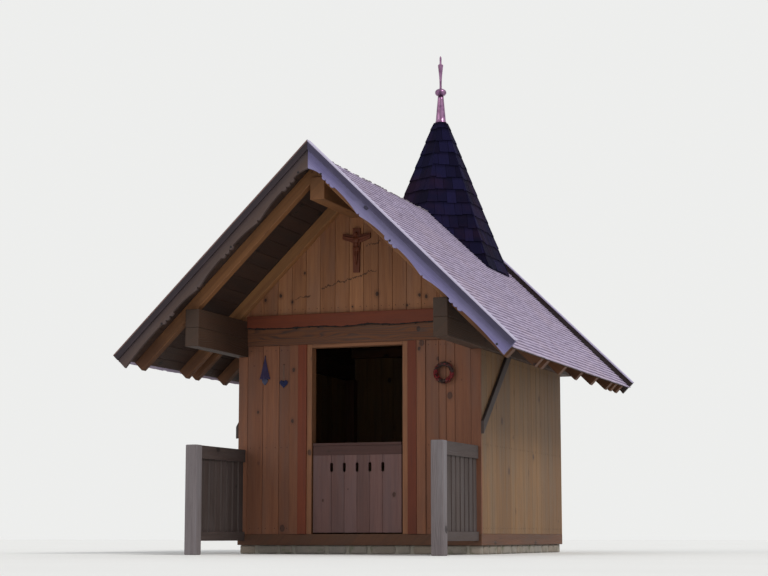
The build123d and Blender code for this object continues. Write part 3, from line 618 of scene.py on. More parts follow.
def lay_grain(bm, rng, direction=None):
    """Writes the wood attributes on the faces of each part, along its longest side or a given direction."""
    grain_layer = bm.loops.layers.float_vector.new("grain")
    tone_layer = bm.loops.layers.float.new("tone")
    end_layer = bm.loops.layers.float.new("end")
    for group in islands(bm):
        points = [v.co for v in group]
        length = direction or longest_direction(points)
        centre = sum(points, Vector()) / len(points)
        pith = Vector((rng.uniform(-0.04, 0.04), rng.uniform(-0.03, 0.03), 0))
        offset, tone = random_offset(rng), rng.random()
        for face in {face for vertex in group for face in vertex.link_faces}:
            is_end = abs(face.normal.dot(length)) > 0.85
            if is_end:
                along = face.normal.orthogonal().normalized()
                across = face.normal.cross(along)
            else:
                along, across = length, face.normal.cross(length).normalized()
            for loop in face.loops:
                if is_end:
                    arm = loop.vert.co - centre
                    loop[grain_layer] = pith + Vector((arm.dot(along), arm.dot(across), 0))
                else:
                    p = loop.vert.co
                    loop[grain_layer] = offset + Vector((p.dot(along), p.dot(across), 0))
                loop[tone_layer] = tone
                loop[end_layer] = float(is_end)


SHARP_EDGE = radians(28)
HALF_SEAM = 0.0007


def dress(node, material, slot, bevel, split=False, body=CHAPEL):
    """Stands for a CAD node: the same solids with eased edges, and grain along the longest side of each.

    split cuts a node into a left and a right half with a seam between them.
    """
    rng = random.Random(node)
    bm = bmesh.new()
    bm.from_mesh(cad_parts[node].data)
    bmesh.ops.remove_doubles(bm, verts=bm.verts, dist=2e-5)
    bmesh.ops.dissolve_limit(bm, angle_limit=radians(0.6), verts=bm.verts, edges=bm.edges)
    if split:
        cut = bmesh.ops.bisect_plane(bm, geom=everything(bm), plane_co=(0, 0, 0), plane_no=(1, 0, 0))
        seam = [e for e in cut["geom_cut"] if isinstance(e, bmesh.types.BMEdge)]
        bmesh.ops.split_edges(bm, edges=seam)
        for group in islands(bm):
            side = 1 if sum(v.co.x for v in group) > 0 else -1
            for vertex in group:
                if abs(vertex.co.x) < 1e-4:
                    vertex.co.x = side * HALF_SEAM
        bmesh.ops.holes_fill(bm, edges=bm.edges, sides=0)
    bmesh.ops.recalc_face_normals(bm, faces=bm.faces)
    sharp = [e for e in bm.edges if len(e.link_faces) == 2 and e.calc_face_angle(0) > SHARP_EDGE]
    bmesh.ops.bevel(bm, geom=sharp, offset=bevel, segments=2, profile=0.6, affect="EDGES", clamp_overlap=True)
    bmesh.ops.recalc_face_normals(bm, faces=bm.faces)
    lay_grain(bm, rng)
    make_piece(node + "_dressed", bm, material, slot, (node,), body)


# Timbers that keep the CAD outline

for node, material, slot, bevel in (
        ("sill_beams", FRAME_WOOD, "frame_wood", 0.006), ("corner_posts", FRAME_WOOD, "frame_wood", 0.004),
        ("wall_rails", FRAME_WOOD, "frame_wood", 0.003), ("door_posts", RED_WOOD, "red_wood", 0.004),
        ("door_lining", TAN_WOOD, "tan_wood", 0.003), ("door_head", TAN_WOOD, "tan_wood", 0.003),
        ("header_beam", RED_WOOD, "red_wood", 0.006), ("header_board", HEADER_WOOD, "tan_wood", 0.003),
        ("wall_plates", PLATE_WOOD, "frame_wood", 0.007), ("eave_purlins", PLATE_WOOD, "frame_wood", 0.007),
        ("ridge_purlin", RAFTER_WOOD, "frame_wood", 0.007),
        ("rear_tie_beam", FRAME_WOOD, "frame_wood", 0.005), ("king_posts", FRAME_WOOD, "frame_wood", 0.005),
        ("rafters_left", RAFTER_WOOD, "rafter_wood", 0.005),
        ("rafters_right", RAFTER_WOOD, "rafter_wood", 0.005),
        ("eave_blocking", FRAME_WOOD, "frame_wood", 0.002),
        ("front_bargeboard_right", BARGE_WOOD, "grey_wood", 0.003),
        ("front_bargeboard_left", BROWN_SHADED_BARGE_WOOD, "grey_wood", 0.003),
        ("rear_bargeboard_right", DARK_WOOD, "dark_wood", 0.003),
        ("rear_bargeboard_left", DARK_WOOD, "dark_wood", 0.003),
        ("parapet_posts", POST_WOOD, "grey_wood", 0.010), ("parapet_rails", DARK_WOOD, "dark_wood", 0.004),
        ("parapet_slats", DARK_WOOD, "dark_wood", 0.003), ("side_braces", DARK_WOOD, "dark_wood", 0.004)):
    dress(node, material, slot, bevel)
dress("verge_strips", STRIP_WOOD, "grey_wood", 0.003, split=True)
dress("verge_caps", PALE_WOOD, "pale_wood", 0.002, split=True)
for node, material, slot, bevel in (("gate_top_rail", GATE_RAIL_WOOD, "gate_wood", 0.003),
                                    ("gate_frame", GATE_WOOD, "gate_wood", 0.003),
                                    ("gate_straps", IRON, "iron", 0.0012)):
    dress(node, material, slot, bevel, body=GATE)
dress("gate_pintles", IRON, "iron", 0.0012)

# Boards

BOARD_GAP = 0.0024
DEPTH_PLAY = 0.0015
HALF_TONGUE = 0.006
HALF_JOINT = 0.001
NARROWEST_BOARD = 0.05


def board_edges(low, high, widths, rng, spread=0.0):
    """Splits a run into boards of the given widths, repeated as needed."""
    edges = [low]
    index = 0
    while edges[-1] < high - 1e-6:
        width = widths[index % len(widths)] * (1 + rng.uniform(-spread, spread))
        edges.append(min(high, edges[-1] + width))
        index += 1
    if len(edges) > 2 and edges[-1] - edges[-2] < NARROWEST_BOARD:
        edges.pop(-2)
    return list(zip(edges[:-1], edges[1:]))


def wall_of_boards(name, node, spans, bottom, top, place, material, slot, seed):
    """Upright boards with tongues between them; foot and head follow bottom(u) and top(u), also at a peak."""
    rng = random.Random(seed)
    bm = new_mesh()
    for index, (left, right) in enumerate(spans):
        left, right = left + BOARD_GAP / 2, right - BOARD_GAP / 2
        foot = bottom((left + right) / 2)
        outline = [(left, foot), (right, foot), (right, top(right))]
        if left < 0 < right and top(0) > max(top(left), top(right)) + 1e-4:
            outline.append((0, top(0)))
        outline.append((left, top(left)))
        board_place = place @ Matrix.Translation((0, 0, rng.uniform(0, DEPTH_PLAY)))
        add_board(bm, outline, BOARD - DEPTH_PLAY, board_place, rng, chamfer=0.003)
        if index and abs(spans[index - 1][1] - spans[index][0]) < 1e-4:
            seam = spans[index][0]
            foot = max(foot, bottom(seam - 0.02)) + 0.004
            left, right = seam - HALF_TONGUE, seam + HALF_TONGUE
            tongue = [(left, foot), (right, foot), (right, top(right) - 0.004), (left, top(left) - 0.004)]
            tongue_place = place @ Matrix.Translation((0, 0, BOARD * 0.35))
            add_board(bm, tongue, BOARD * 0.4, tongue_place, rng, chamfer=0.001, tone=1.0)
    make_piece(name, bm, material, slot, [node])


gable_low, gable_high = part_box("front_gable")
rear_low, rear_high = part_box("rear_wall")
right_low, right_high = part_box("right_wall")
left_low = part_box("left_wall")[0]
beam_face, header_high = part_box("header_beam")[0].y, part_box("header_beam")[1]
rafter_crest = gable_high.z
BOARD = gable_high.y - gable_low.y
facing_front = plane_at((0, gable_low.y, 0), (1, 0, 0), (0, 0, 1), (0, 1, 0))
facing_rear = plane_at((0, rear_high.y, 0), (1, 0, 0), (0, 0, 1), (0, -1, 0))
facing_right = plane_at((right_high.x, 0, 0), (0, 1, 0), (0, 0, 1), (-1, 0, 0))
facing_left = plane_at((left_low.x, 0, 0), (0, 1, 0), (0, 0, 1), (1, 0, 0))


def under_roof(x):
    return rafter_crest - SLOPE * abs(x)


GABLE_JOINTS = (-1.175, -1.068, -0.927, -0.785, -0.644, -0.503, -0.362, -0.216, -0.077, 0.062, 0.207, 0.344,
                0.480, 0.621, 0.770, 0.905, 1.040, 1.175)
gable_spans = list(zip(GABLE_JOINTS[:-1], GABLE_JOINTS[1:]))
wall_of_boards("gable_boards", "front_gable", gable_spans,
               lambda x: header_high.z if abs(x) < header_high.x - 0.02 else gable_low.z,
               under_roof, facing_front, GABLE_WOOD, "gable_wood", 11)

wall_low, wall_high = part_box("front_wall_right")
RIGHT_WIDTHS = (0.125, 0.068, 0.082, 0.150)
LEFT_WIDTHS = (0.107, 0.163, 0.155)
rng = random.Random(3)
right_spans = board_edges(wall_low.x, wall_high.x, RIGHT_WIDTHS, rng)
left_spans = [(-b, -a) for a, b in board_edges(wall_low.x, wall_high.x, LEFT_WIDTHS, rng)]
for side, spans in (("right", right_spans), ("left", left_spans)):
    wall_of_boards("front_boards_" + side, "front_wall_" + side, spans, lambda x: wall_low.z,
                   lambda x: wall_high.z, facing_front, WALL_WOOD, "wall_wood", side)
dress("corner_boards", WALL_WOOD, "wall_wood", 0.0025)
dress("door_side_boards", WALL_WOOD, "wall_wood", 0.003)

SIDE_WIDTHS = (0.146, 0.162, 0.134, 0.155, 0.128, 0.168)
side_spans = board_edges(right_low.y, right_high.y, SIDE_WIDTHS, random.Random(7))
for name, place in (("right", facing_right), ("left", facing_left)):
    wall_of_boards(name + "_wall_boards", name + "_wall", side_spans, lambda y: right_low.z,
                   lambda y: right_high.z, place, SIDE_WOOD, "side_wood", name)

plate_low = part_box("wall_plates")[0]
plate_inner = header_high.x
inner_edges = board_edges(-plate_inner, plate_inner, SIDE_WIDTHS, random.Random(8))
rear_corners = [(rear_low.x, -plate_inner), (plate_inner, rear_high.x)]
for name, spans, foot, top, seed in (
        ("rear_wall_boards", inner_edges, rear_low.z, under_roof, 21),
        ("rear_corner_boards", rear_corners, rear_low.z, lambda x: plate_low.z, 22),
        ("rear_corner_heads", rear_corners, gable_low.z, under_roof, 23)):
    wall_of_boards(name, "rear_wall", spans, lambda x: foot, top, facing_rear, SIDE_WOOD, "side_wood", seed)

# Floor boards run from the front to the rear
floor_low, floor_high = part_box("floor")
floor_top = plane_at((0, 0, floor_high.z), (1, 0, 0), (0, 1, 0), (0, 0, -1))
rng = random.Random(5)
bm = new_mesh()
for left, right in board_edges(floor_low.x, floor_high.x, (0.14, 0.125, 0.15), rng):
    outline = rectangle(left + HALF_JOINT, floor_low.y, right - HALF_JOINT, floor_high.y)
    add_board(bm, outline, floor_high.z - floor_low.z, floor_top, rng)
make_piece("floor_boards", bm, FLOOR_WOOD, "floor_wood", ["floor"])

# Roof boards, seen from below along both overhangs
boards_low, boards_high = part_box("roof_boards_right")
shingle_low, shingle_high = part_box("shingles_right")
board_crest = boards_high.z
shingle_crest = shingle_high.z
ROOF_BOARD = (board_crest - rafter_crest) * SLOPE_COS
SHINGLE_LAYER = (shingle_crest - board_crest) * SLOPE_COS


def slope_plane(side):
    """On the roof boards: u runs down the slope from the ridge, v along the ridge, w down into the roof."""
    return plane_at((0, 0, board_crest), (side * SLOPE_COS, 0, -SLOPE_SIN), (0, 1, 0),
                    (-side * SLOPE_SIN, 0, -SLOPE_COS))


for side, name in ((1, "right"), (-1, "left")):
    rng = random.Random(40 + side)
    bm = new_mesh()
    place = slope_plane(side)
    foot = boards_high.x / SLOPE_COS
    for start, end in board_edges(0.0, foot, (0.150, 0.135, 0.160), rng):
        edges = [boards_low.y, boards_low.y + rng.uniform(1.4, 2.9), boards_high.y]
        for near, far in zip(edges[:-1], edges[1:]):
            head = (ROOF_BOARD * SLOPE if start == 0 else start) + HALF_JOINT
            outline = rectangle(head, near + HALF_JOINT, end - HALF_JOINT, far - HALF_JOINT)
            add_board(bm, outline, ROOF_BOARD, place, rng, chamfer=0.002)
    make_piece("roof_boards_" + name + "_cut", bm, SOFFIT_WOOD, "soffit_wood", ["roof_boards_" + name])

# Roof shingles: courses from the eave to the ridge, each shingle a thin wedge over the one below

SHINGLE_EXPOSURE = 0.055
SHINGLE_LENGTH = 0.105
SHINGLE_BUTT = 0.0075
SHINGLE_TIP = 0.002


def shingle_run(low, high, rng, narrow, gap, least, rest=0.0):
    """Both sides of each shingle in a course; none starts within rest of its end or is under least wide."""
    at = low + rng.uniform(-0.06, 0)
    while at < high - rest:
        width = rng.uniform(narrow, 0.125)
        near, far = max(at, low), min(at + width - gap, high)
        at += width
        if far - near >= least:
            yield near, far


def add_shingle(bm, corners, heights, butt, place, offset, tone, under_grain=0.0):
    """A wedge. corners are u and v, those of the head first; heights are of face and underside, along -w."""
    head = corners[0][0]
    upper, lower = [], []
    for (u, v), (top, under) in zip(corners, heights):
        grain = offset + Vector((u, v, 0))
        down = (u - head) / (butt - head)
        upper.append(add_vertex(bm, place @ Vector((u, v, -top)), grain, tone, down))
        below = grain + Vector((0, 0, under_grain))
        lower.append(add_vertex(bm, place @ Vector((u, v, -under)), below, tone, down))
    join_rings(bm, (lower, upper))


for side, name in ((1, "right"), (-1, "left")):
    rng = random.Random(60 + side)
    bm = new_mesh()
    place = slope_plane(side)
    foot = shingle_high.x / SLOPE_COS - 0.004
    course_count = int(foot / SHINGLE_EXPOSURE)
    for course in range(course_count + 1):
        butt = foot - course * SHINGLE_EXPOSURE
        head = max(butt - SHINGLE_LENGTH, 0.0)
        over_ridge = course == course_count and side > 0
        for near, far in shingle_run(shingle_low.y, shingle_high.y, rng, narrow=0.065, gap=0.0025,
                                     least=0.015, rest=0.012):
            top = SHINGLE_LAYER - rng.uniform(0, 0.0015)
            head_top = top - (top - SHINGLE_TIP) * (butt - head) / SHINGLE_LENGTH * 0.92
            tip = head - rng.uniform(0.002, 0.016) if over_ridge else head
            end = butt + rng.uniform(-0.004, 0.003)
            offset, tone, skew = random_offset(rng), rng.random(), rng.uniform(-0.002, 0.002)
            corners = [(tip, near), (tip, far), (end + skew, far), (end - skew * 0.4, near)]
            heights = [(head_top, head_top - SHINGLE_TIP)] * 2 + [(top, top - SHINGLE_BUTT)] * 2
            add_shingle(bm, corners, heights, end, place, offset, tone, SHINGLE_BUTT)
    make_piece("shingle_courses_" + name, bm, ROOF_SHINGLES, "shingles", ["shingles_" + name])

# Spire: courses of dark shingles over a plain core

spire_low, spire_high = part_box("spire")
SPIRE_Y = (spire_low.y + spire_high.y) / 2
SPIRE_SIDES = 6
SPIRE_RIDGE_RADIUS = (spire_high.y - spire_low.y) / 2
SPIRE_HEIGHT = 1.227
SPIRE_APEX = shingle_crest + SPIRE_HEIGHT
SPIRE_TAPER = SPIRE_RIDGE_RADIUS / SPIRE_HEIGHT
FACE_LEAN = atan(SPIRE_TAPER * cos(pi / SPIRE_SIDES))
SPIRE_COURSE = 0.148
SPIRE_CORE_INSET = 0.018


def trim_to_roof(bm):
    """Cuts away what lies under the roof's surface on either side of the ridge."""
    for side in (1, -1):
        bmesh.ops.bisect_plane(bm, geom=everything(bm), plane_co=(0, 0, shingle_crest),
                               plane_no=(side * SLOPE_SIN, 0, SLOPE_COS))
    middles = [(face, face.calc_center_median()) for face in bm.faces]
    doomed = [face for face, middle in middles if middle.z < shingle_crest - SLOPE * abs(middle.x) - 1e-5]
    bmesh.ops.delete(bm, geom=doomed, context="FACES")
    bmesh.ops.holes_fill(bm, edges=bm.edges, sides=0)


bm = new_mesh()
rng = random.Random(77)
slant = (SPIRE_APEX - spire_high.z) / cos(FACE_LEAN)
face_foot = (SPIRE_APEX - spire_low.z) / cos(FACE_LEAN) + 0.12
half_per_length = tan(pi / SPIRE_SIDES) * sin(FACE_LEAN)
for cosine, sine in circle(SPIRE_SIDES):
    out, side = Vector((cosine, sine, 0)), Vector((-sine, cosine, 0))
    down = (out * sin(FACE_LEAN) - Vector((0, 0, cos(FACE_LEAN)))).normalized()
    normal = out * cos(FACE_LEAN) + Vector((0, 0, sin(FACE_LEAN)))
    place = plane_at(Vector((0, SPIRE_Y, SPIRE_APEX)), down, side, -normal)
    butt = face_foot
    while butt > slant + 0.02:
        head = max(butt - SPIRE_COURSE * 1.5, slant - 0.005)
        reach, top_reach = half_per_length * butt, half_per_length * head
        for near, far in shingle_run(-reach, reach, rng, narrow=0.075, gap=0.003, least=0.01):
            low = min(butt + rng.uniform(-0.010, 0.012), face_foot)
            head_near, head_far = max(near, -top_reach), min(far, top_reach)
            if head_far - head_near < 0.002:
                middle = max(-top_reach, min(top_reach, (near + far) / 2))
                head_near, head_far = middle - 0.001, middle + 0.001
            outline = [(head, head_near), (head, head_far), (low, far), (low, near)]
            offset, tone, lift = random_offset(rng), rng.random(), rng.uniform(0.0, 0.003)
            add_shingle(bm, outline, [(-0.012, -0.016)] * 2 + [(-lift, -0.011)] * 2, low, place, offset, tone)
        butt -= SPIRE_COURSE
core = []
for z in (spire_low.z - 0.02, spire_high.z):
    radius = (SPIRE_APEX - z) * SPIRE_TAPER - SPIRE_CORE_INSET
    core.append(add_ring(bm, [Vector((radius * cosine, SPIRE_Y + radius * sine, z))
                              for cosine, sine in circle(SPIRE_SIDES, pi / SPIRE_SIDES)], 0.9))
join_rings(bm, core)
trim_to_roof(bm)
make_piece("spire_shingles", bm, SPIRE_SHINGLES, "dark_shingles", ["spire"])

# Finial, turned about the spire's axis


def lathe(profile, steps):
    """A closed solid of revolution about the spire's axis; profile is radius and height."""
    bm = new_mesh()
    rings = [[Vector((radius * cosine, SPIRE_Y + radius * sine, height)) for cosine, sine in circle(steps)]
             for radius, height in profile]
    join_rings(bm, [add_ring(bm, ring) for ring in rings])
    return bm


def smooth_profile(points, steps=8):
    """A smooth curve through radius and height pairs."""
    curve = []
    for index in range(len(points) - 1):
        p0 = Vector(points[max(0, index - 1)])
        p1, p2 = Vector(points[index]), Vector(points[index + 1])
        p3 = Vector(points[min(len(points) - 1, index + 2)])
        for step in range(steps):
            t = step / steps
            value = 0.5 * (2 * p1 + (p2 - p0) * t + (2 * p0 - 5 * p1 + 4 * p2 - p3) * t * t
                           + (3 * p1 - p0 - 3 * p2 + p3) * t ** 3)
            curve.append((max(0.0005, value.x), value.y))
    curve.append(tuple(points[-1]))
    return curve


cone_low, cone_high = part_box("finial_cone")
ball_low, ball_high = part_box("finial_ball")
spike_low, spike_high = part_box("finial_spike")
cone_foot, cone_head = cone_high.x, 0.030
hem, shoulder = cone_low.z + 0.018, cone_foot * 0.9
cone_profile = [(cone_foot * 0.96, cone_low.z), (cone_foot, cone_low.z + 0.004),
                (cone_foot, cone_low.z + 0.012)]
for step in range(9):
    share = step / 8
    cone_profile.append((shoulder + (cone_head - shoulder) * share, hem + (cone_high.z - hem) * share))

ball_rise = ball_high.z - ball_low.z
ball_profile = []
for step in range(25):
    turn = pi * step / 24
    radius = max(0.012, ball_high.x * sin(turn) ** 0.85)
    if abs(step - 12) <= 1:
        radius = ball_high.x
    ball_profile.append((radius, ball_low.z + ball_rise * (1 - cos(turn)) / 2))

spike_rise = spike_high.z - spike_low.z
spike_points = [(0.0135, 0.0), (0.0118, 0.08), (0.0125, 0.22), (0.0165, 0.40), (0.022, 0.56), (0.0262, 0.67),
                (spike_high.x, 0.72), (0.020, 0.745), (0.0115, 0.77), (0.0108, 0.85), (0.0105, 0.94),
                (0.006, 0.985), (0.0015, 1.0)]
spike_profile = smooth_profile([(r, spike_low.z + spike_rise * share) for r, share in spike_points])
for name, profile, steps in (("finial_cone", cone_profile, 48), ("finial_ball", ball_profile, 48),
                             ("finial_spike", spike_profile, 32)):
    make_piece(name + "_spun", lathe(profile, steps), COPPER, "copper", [name], smooth=True)

# Stone base: a mortar bed with rough stones along its sides

base_low, base_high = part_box("foundation")
MORTAR_INSET = 0.012
bm = new_mesh()
rng = random.Random(31)
bed = rectangle(base_low.x + MORTAR_INSET, base_low.y + MORTAR_INSET, base_high.x - MORTAR_INSET,
                base_high.y - MORTAR_INSET)
bed_top = plane_at((0, 0, base_high.z), (1, 0, 0), (0, 1, 0), (0, 0, -1))
add_board(bm, bed, base_high.z - base_low.z - 0.001, bed_top, rng, chamfer=0.004)
make_piece("base_mortar", bm, MORTAR, "stone")


def cube_grid(cuts):
    """Corner points and faces of a cube from -1 to 1 whose sides are split into squares."""
    levels = [2 * step / cuts - 1 for step in range(cuts + 1)]
    index_of, faces = {}, []
    for turns in range(3):
        for sign in (-1, 1):
            for row in range(cuts):
                for column in range(cuts):
                    corners = []
                    for du, dv in ((0, 0), (1, 0), (1, 1), (0, 1)):
                        point = (sign, levels[row + du], levels[column + dv])
                        point = point[-turns:] + point[:-turns] if turns else point
                        corners.append(index_of.setdefault(point, len(index_of)))
                    faces.append(corners)
    return [Vector(point) for point in index_of], faces


BLOCK_POINTS, BLOCK_FACES = cube_grid(6)


def add_stone(bm, low, high, rng):
    """A rounded rough block inside a box."""
    middle, half = (low + high) / 2, (high - low) / 2
    seed, tone = random_offset(rng), rng.random()
    verts = []
    for p in BLOCK_POINTS:
        round_off = (abs(p.x) ** 7 + abs(p.y) ** 7 + abs(p.z) ** 7) ** (-1 / 7)
        wobble = 1 - 0.10 * (noise.noise(p * 1.3 + seed) + 1) / 2
        point = middle + p * round_off * wobble * half
        verts.append(add_vertex(bm, point, point + seed, tone))
    for corners in BLOCK_FACES:
        bm.faces.new([verts[i] for i in corners])


bm = new_mesh()
STONE_DEPTH = 0.09
STONE_WIDTHS = (0.19, 0.26, 0.15, 0.31, 0.22)
STONE_GAP = 0.004
inner_low, inner_high = base_low.y + STONE_DEPTH, base_high.y - STONE_DEPTH
for along_x, near, far in ((True, base_low.y, inner_low), (True, inner_high, base_high.y),
                           (False, base_low.x, base_low.x + STONE_DEPTH),
                           (False, base_high.x - STONE_DEPTH, base_high.x)):
    run_low, run_high = (base_low.x, base_high.x) if along_x else (inner_low, inner_high)
    for start, end in board_edges(run_low, run_high, STONE_WIDTHS, rng, 0.15):
        low, high = (start + STONE_GAP, near), (end - STONE_GAP, far)
        if not along_x:
            low, high = low[::-1], high[::-1]
        add_stone(bm, Vector((*low, base_low.z)), Vector((*high, base_high.z)), rng)
make_piece("base_stones", bm, STONE, "stone", ["foundation"], smooth=True)

# Lower half-door boards, with slots cut at their joints

pale_low, pale_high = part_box("gate_boards")
SLOT_PITCH = 0.124
SLOT_HEIGHT = 0.084
SLOT_RADIUS = 0.013
PALE_GAP = 0.0012
slot_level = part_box("gate_top_rail")[0].z - 0.110


def half_slot(x, sign):
    """Half of a slot with round ends, from its lower to its upper end."""
    straight = SLOT_HEIGHT / 2 - SLOT_RADIUS
    turns = [pi / 2 * step / 6 for step in range(7)]
    lower = [(x + sign * SLOT_RADIUS * sin(turn), slot_level - straight - SLOT_RADIUS * cos(turn))
             for turn in turns]
    upper = [(x + sign * SLOT_RADIUS * cos(turn), slot_level + straight + SLOT_RADIUS * sin(turn))
             for turn in turns]
    return lower + upper


joints = [SLOT_PITCH * (i - 2) for i in range(5)]
edges = [pale_low.x, *joints, pale_high.x]
bm = new_mesh()
rng = random.Random(90)
gate_place = plane_at((0, pale_low.y, 0), (1, 0, 0), (0, 0, 1), (0, 1, 0))
for index, (left, right) in enumerate(zip(edges[:-1], edges[1:])):
    foot, foot_right, head_right, head = rectangle(left + PALE_GAP, pale_low.z, right - PALE_GAP, pale_high.z)
    outline = [foot, foot_right]
    if index < len(joints):
        outline += half_slot(right - PALE_GAP, -1)
    outline += [head_right, head]
    if index > 0:
        outline += half_slot(left + PALE_GAP, 1)[::-1]
    add_board(bm, outline, pale_high.y - pale_low.y, gate_place, rng, chamfer=0.0012)
make_piece("gate_pales", bm, GATE_WOOD, "gate_wood", ["gate_boards"], body=GATE)

# Small shapes for the ornaments, nails, bark and lichen


def round_ring(bm, centre, side, up, radius, steps, tone=0.5):
    """A ring of vertices on a circle that lies along side and up."""
    points = [centre + (side * cosine + up * sine) * radius for cosine, sine in circle(steps)]
    return add_ring(bm, points, tone)


def add_tube(bm, points, radii, sides=6, tone=0.5):
    """A round bar along a line of points that never runs along Y, with a radius at each."""
    rings = []
    for index, point in enumerate(points):
        along = (points[min(index + 1, len(points) - 1)] - points[max(index - 1, 0)]).normalized()
        side = along.cross(Vector((0, 1, 0))).normalized()
        rings.append(round_ring(bm, point, side, side.cross(along), radii[index], sides, tone))
    join_rings(bm, rings)


def unit_ball(subdivisions):
    """The points and faces of a round ball of radius 1."""
    bm = bmesh.new()
    bmesh.ops.create_icosphere(bm, subdivisions=subdivisions, radius=1.0)
    points = [v.co.copy() for v in bm.verts]
    faces = [[v.index for v in face.verts] for face in bm.faces]
    bm.free()
    return points, faces


BALL_POINTS, BALL_FACES = unit_ball(2)
FINE_BALL_POINTS, FINE_BALL_FACES = unit_ball(3)


def add_ball(bm, centre, radii, tone=0.5):
    """An ellipsoid with its three radii."""
    made = add_ring(bm, [centre + point * Vector(radii) for point in BALL_POINTS], tone)
    for face in BALL_FACES:
        bm.faces.new([made[index] for index in face])


def add_nail(bm, at, out, radius=0.0038, rise=0.0014):
    """A low round nail head on a face; out points away from the face."""
    side = out.orthogonal().normalized()
    join_rings(bm, [round_ring(bm, at + out * height, side, out.cross(side), radius * share, 10)
                    for share, height in ((1.0, -0.001), (1.0, rise * 0.4), (0.55, rise))])


# Crucifix: a plank cross and a carved figure, all of one dark red-brown wood

cross_low, cross_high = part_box("crucifix")
CROSS_THICKNESS = 0.022
CROSS_ARM = cross_high.z - 0.098
CROSS_HAND = CROSS_ARM + 0.024
CROSS_FACE = cross_high.y - CROSS_THICKNESS


def cross_plank():
    half = [(0.030, cross_low.z), (0.036, CROSS_ARM - 0.036), (cross_high.x, CROSS_HAND - 0.025),
            (cross_high.x, CROSS_HAND + 0.025), (0.036, CROSS_ARM + 0.036), (0.036, cross_high.z)]
    outline = half + [(-x, z) for x, z in reversed(half)]
    bm = bmesh.new()
    face = bm.faces.new([bm.verts.new((x, cross_high.y, z)) for x, z in outline])
    grown = bmesh.ops.extrude_face_region(bm, geom=[face])
    moved = [v for v in grown["geom"] if isinstance(v, bmesh.types.BMVert)]
    bmesh.ops.translate(bm, verts=moved, vec=(0, -CROSS_THICKNESS, 0))
    bmesh.ops.recalc_face_normals(bm, faces=bm.faces)
    bmesh.ops.bevel(bm, geom=bm.edges[:], offset=0.003, segments=3, profile=0.6, affect="EDGES")
    bmesh.ops.recalc_face_normals(bm, faces=bm.faces)
    lay_grain(bm, random.Random(4), Vector((0, 0, 1)))
    make_piece("crucifix_plank", bm, CROSS_WOOD, "carved_wood", ["crucifix"])


def carved_figure():
    """A plain traditional figure, built from rounded masses at usual proportions and joined by remeshing."""
    shoulder = CROSS_ARM + 0.006
    points, faces = [], []

    def mass(x, y, z, rx, ry, rz):
        first = len(points)
        for p in FINE_BALL_POINTS:
            points.append((x + p.x * rx, CROSS_FACE + y + p.y * ry, shoulder + z + p.z * rz))
        faces.extend([first + index for index in face] for face in FINE_BALL_FACES)

    def limb(joints):
        for (a, ra), (b, rb) in zip(joints[:-1], joints[1:]):
            a, b = Vector(a), Vector(b)
            steps = max(2, int((b - a).length / (0.5 * min(ra, rb))))
            for step in range(steps + 1):
                share = step / steps
                point, radius = a.lerp(b, share), ra + (rb - ra) * share
                mass(point.x, point.y, point.z, radius, radius, radius)

    mass(0, -0.010, -0.020, 0.029, 0.0135, 0.032)
    mass(0, -0.010, -0.058, 0.0205, 0.0115, 0.028)
    mass(0, -0.010, -0.088, 0.0245, 0.0130, 0.020)
    mass(0, -0.011, -0.099, 0.0275, 0.0150, 0.018)
    for side in (-1, 1):
        mass(side * 0.013, -0.0165, -0.014, 0.013, 0.006, 0.010)
        mass(side * 0.027, -0.009, -0.004, 0.011, 0.010, 0.010)
        limb([((side * 0.030, -0.009, -0.003), 0.0092), ((side * 0.078, -0.008, 0.007), 0.0072),
              ((side * 0.116, -0.007, 0.017), 0.0050)])
        mass(side * 0.124, -0.007, 0.019, 0.0085, 0.0042, 0.0065)
        limb([((side * 0.012, -0.010, -0.106), 0.0135), ((side * 0.010, -0.019, -0.165), 0.0095),
              ((side * 0.005, -0.010, -0.226), 0.0062), ((side * 0.0025, -0.015, -0.249), 0.0046)])
        limb([((0.004 + side * 0.0135, -0.011, 0.036), 0.0048),
              ((0.003 + side * 0.0155, -0.010, 0.006), 0.0030)])
        mass(0.004 + side * 0.0050, -0.0258, 0.0365, 0.0025, 0.0016, 0.0013)
    for fold in range(5):
        level = -0.089 - 0.0062 * fold
        limb([((-0.024, -0.020, level), 0.0022), ((0, -0.026, level - 0.006), 0.0024),
              ((0.024, -0.020, level - 0.002), 0.0022)])
    limb([((0.026, -0.013, -0.091), 0.0070), ((0.031, -0.011, -0.116), 0.0052),
          ((0.029, -0.011, -0.136), 0.0034)])
    limb([((0, -0.009, 0.0), 0.0080), ((0.003, -0.011, 0.020), 0.0070)])
    mass(0.004, -0.0135, 0.034, 0.0132, 0.0132, 0.0180)
    mass(0.004, -0.0105, 0.0375, 0.0155, 0.0125, 0.0165)
    mass(0.0045, -0.0220, 0.0215, 0.0082, 0.0060, 0.0075)
    limb([((-0.0035, -0.0255, 0.0405), 0.0017), ((0.004, -0.0268, 0.0412), 0.0017),
          ((0.0115, -0.0255, 0.0405), 0.0017)])
    limb([((0.0042, -0.0268, 0.0400), 0.0015), ((0.0044, -0.0278, 0.0318), 0.0021)])
    rough = bpy.data.meshes.new("figure_rough")
    rough.from_pydata(points, [], faces)
    holder = add_object("figure_rough", rough)
    join = holder.modifiers.new("join", "REMESH")
    join.mode = "VOXEL"
    join.voxel_size = 0.0012
    soften = holder.modifiers.new("soften", "SMOOTH")
    soften.factor, soften.iterations = 0.5, 3
    joined = bpy.data.meshes.new_from_object(holder.evaluated_get(bpy.context.evaluated_depsgraph_get()))
    bpy.data.objects.remove(holder)
    bm = bmesh.new()
    bm.from_mesh(joined)
    lay_grain(bm, random.Random(4), Vector((0, 0, 1)))
    make_piece("crucifix_figure", bm, CROSS_WOOD, "carved_wood", ["crucifix"], smooth=True)


cross_plank()
carved_figure()

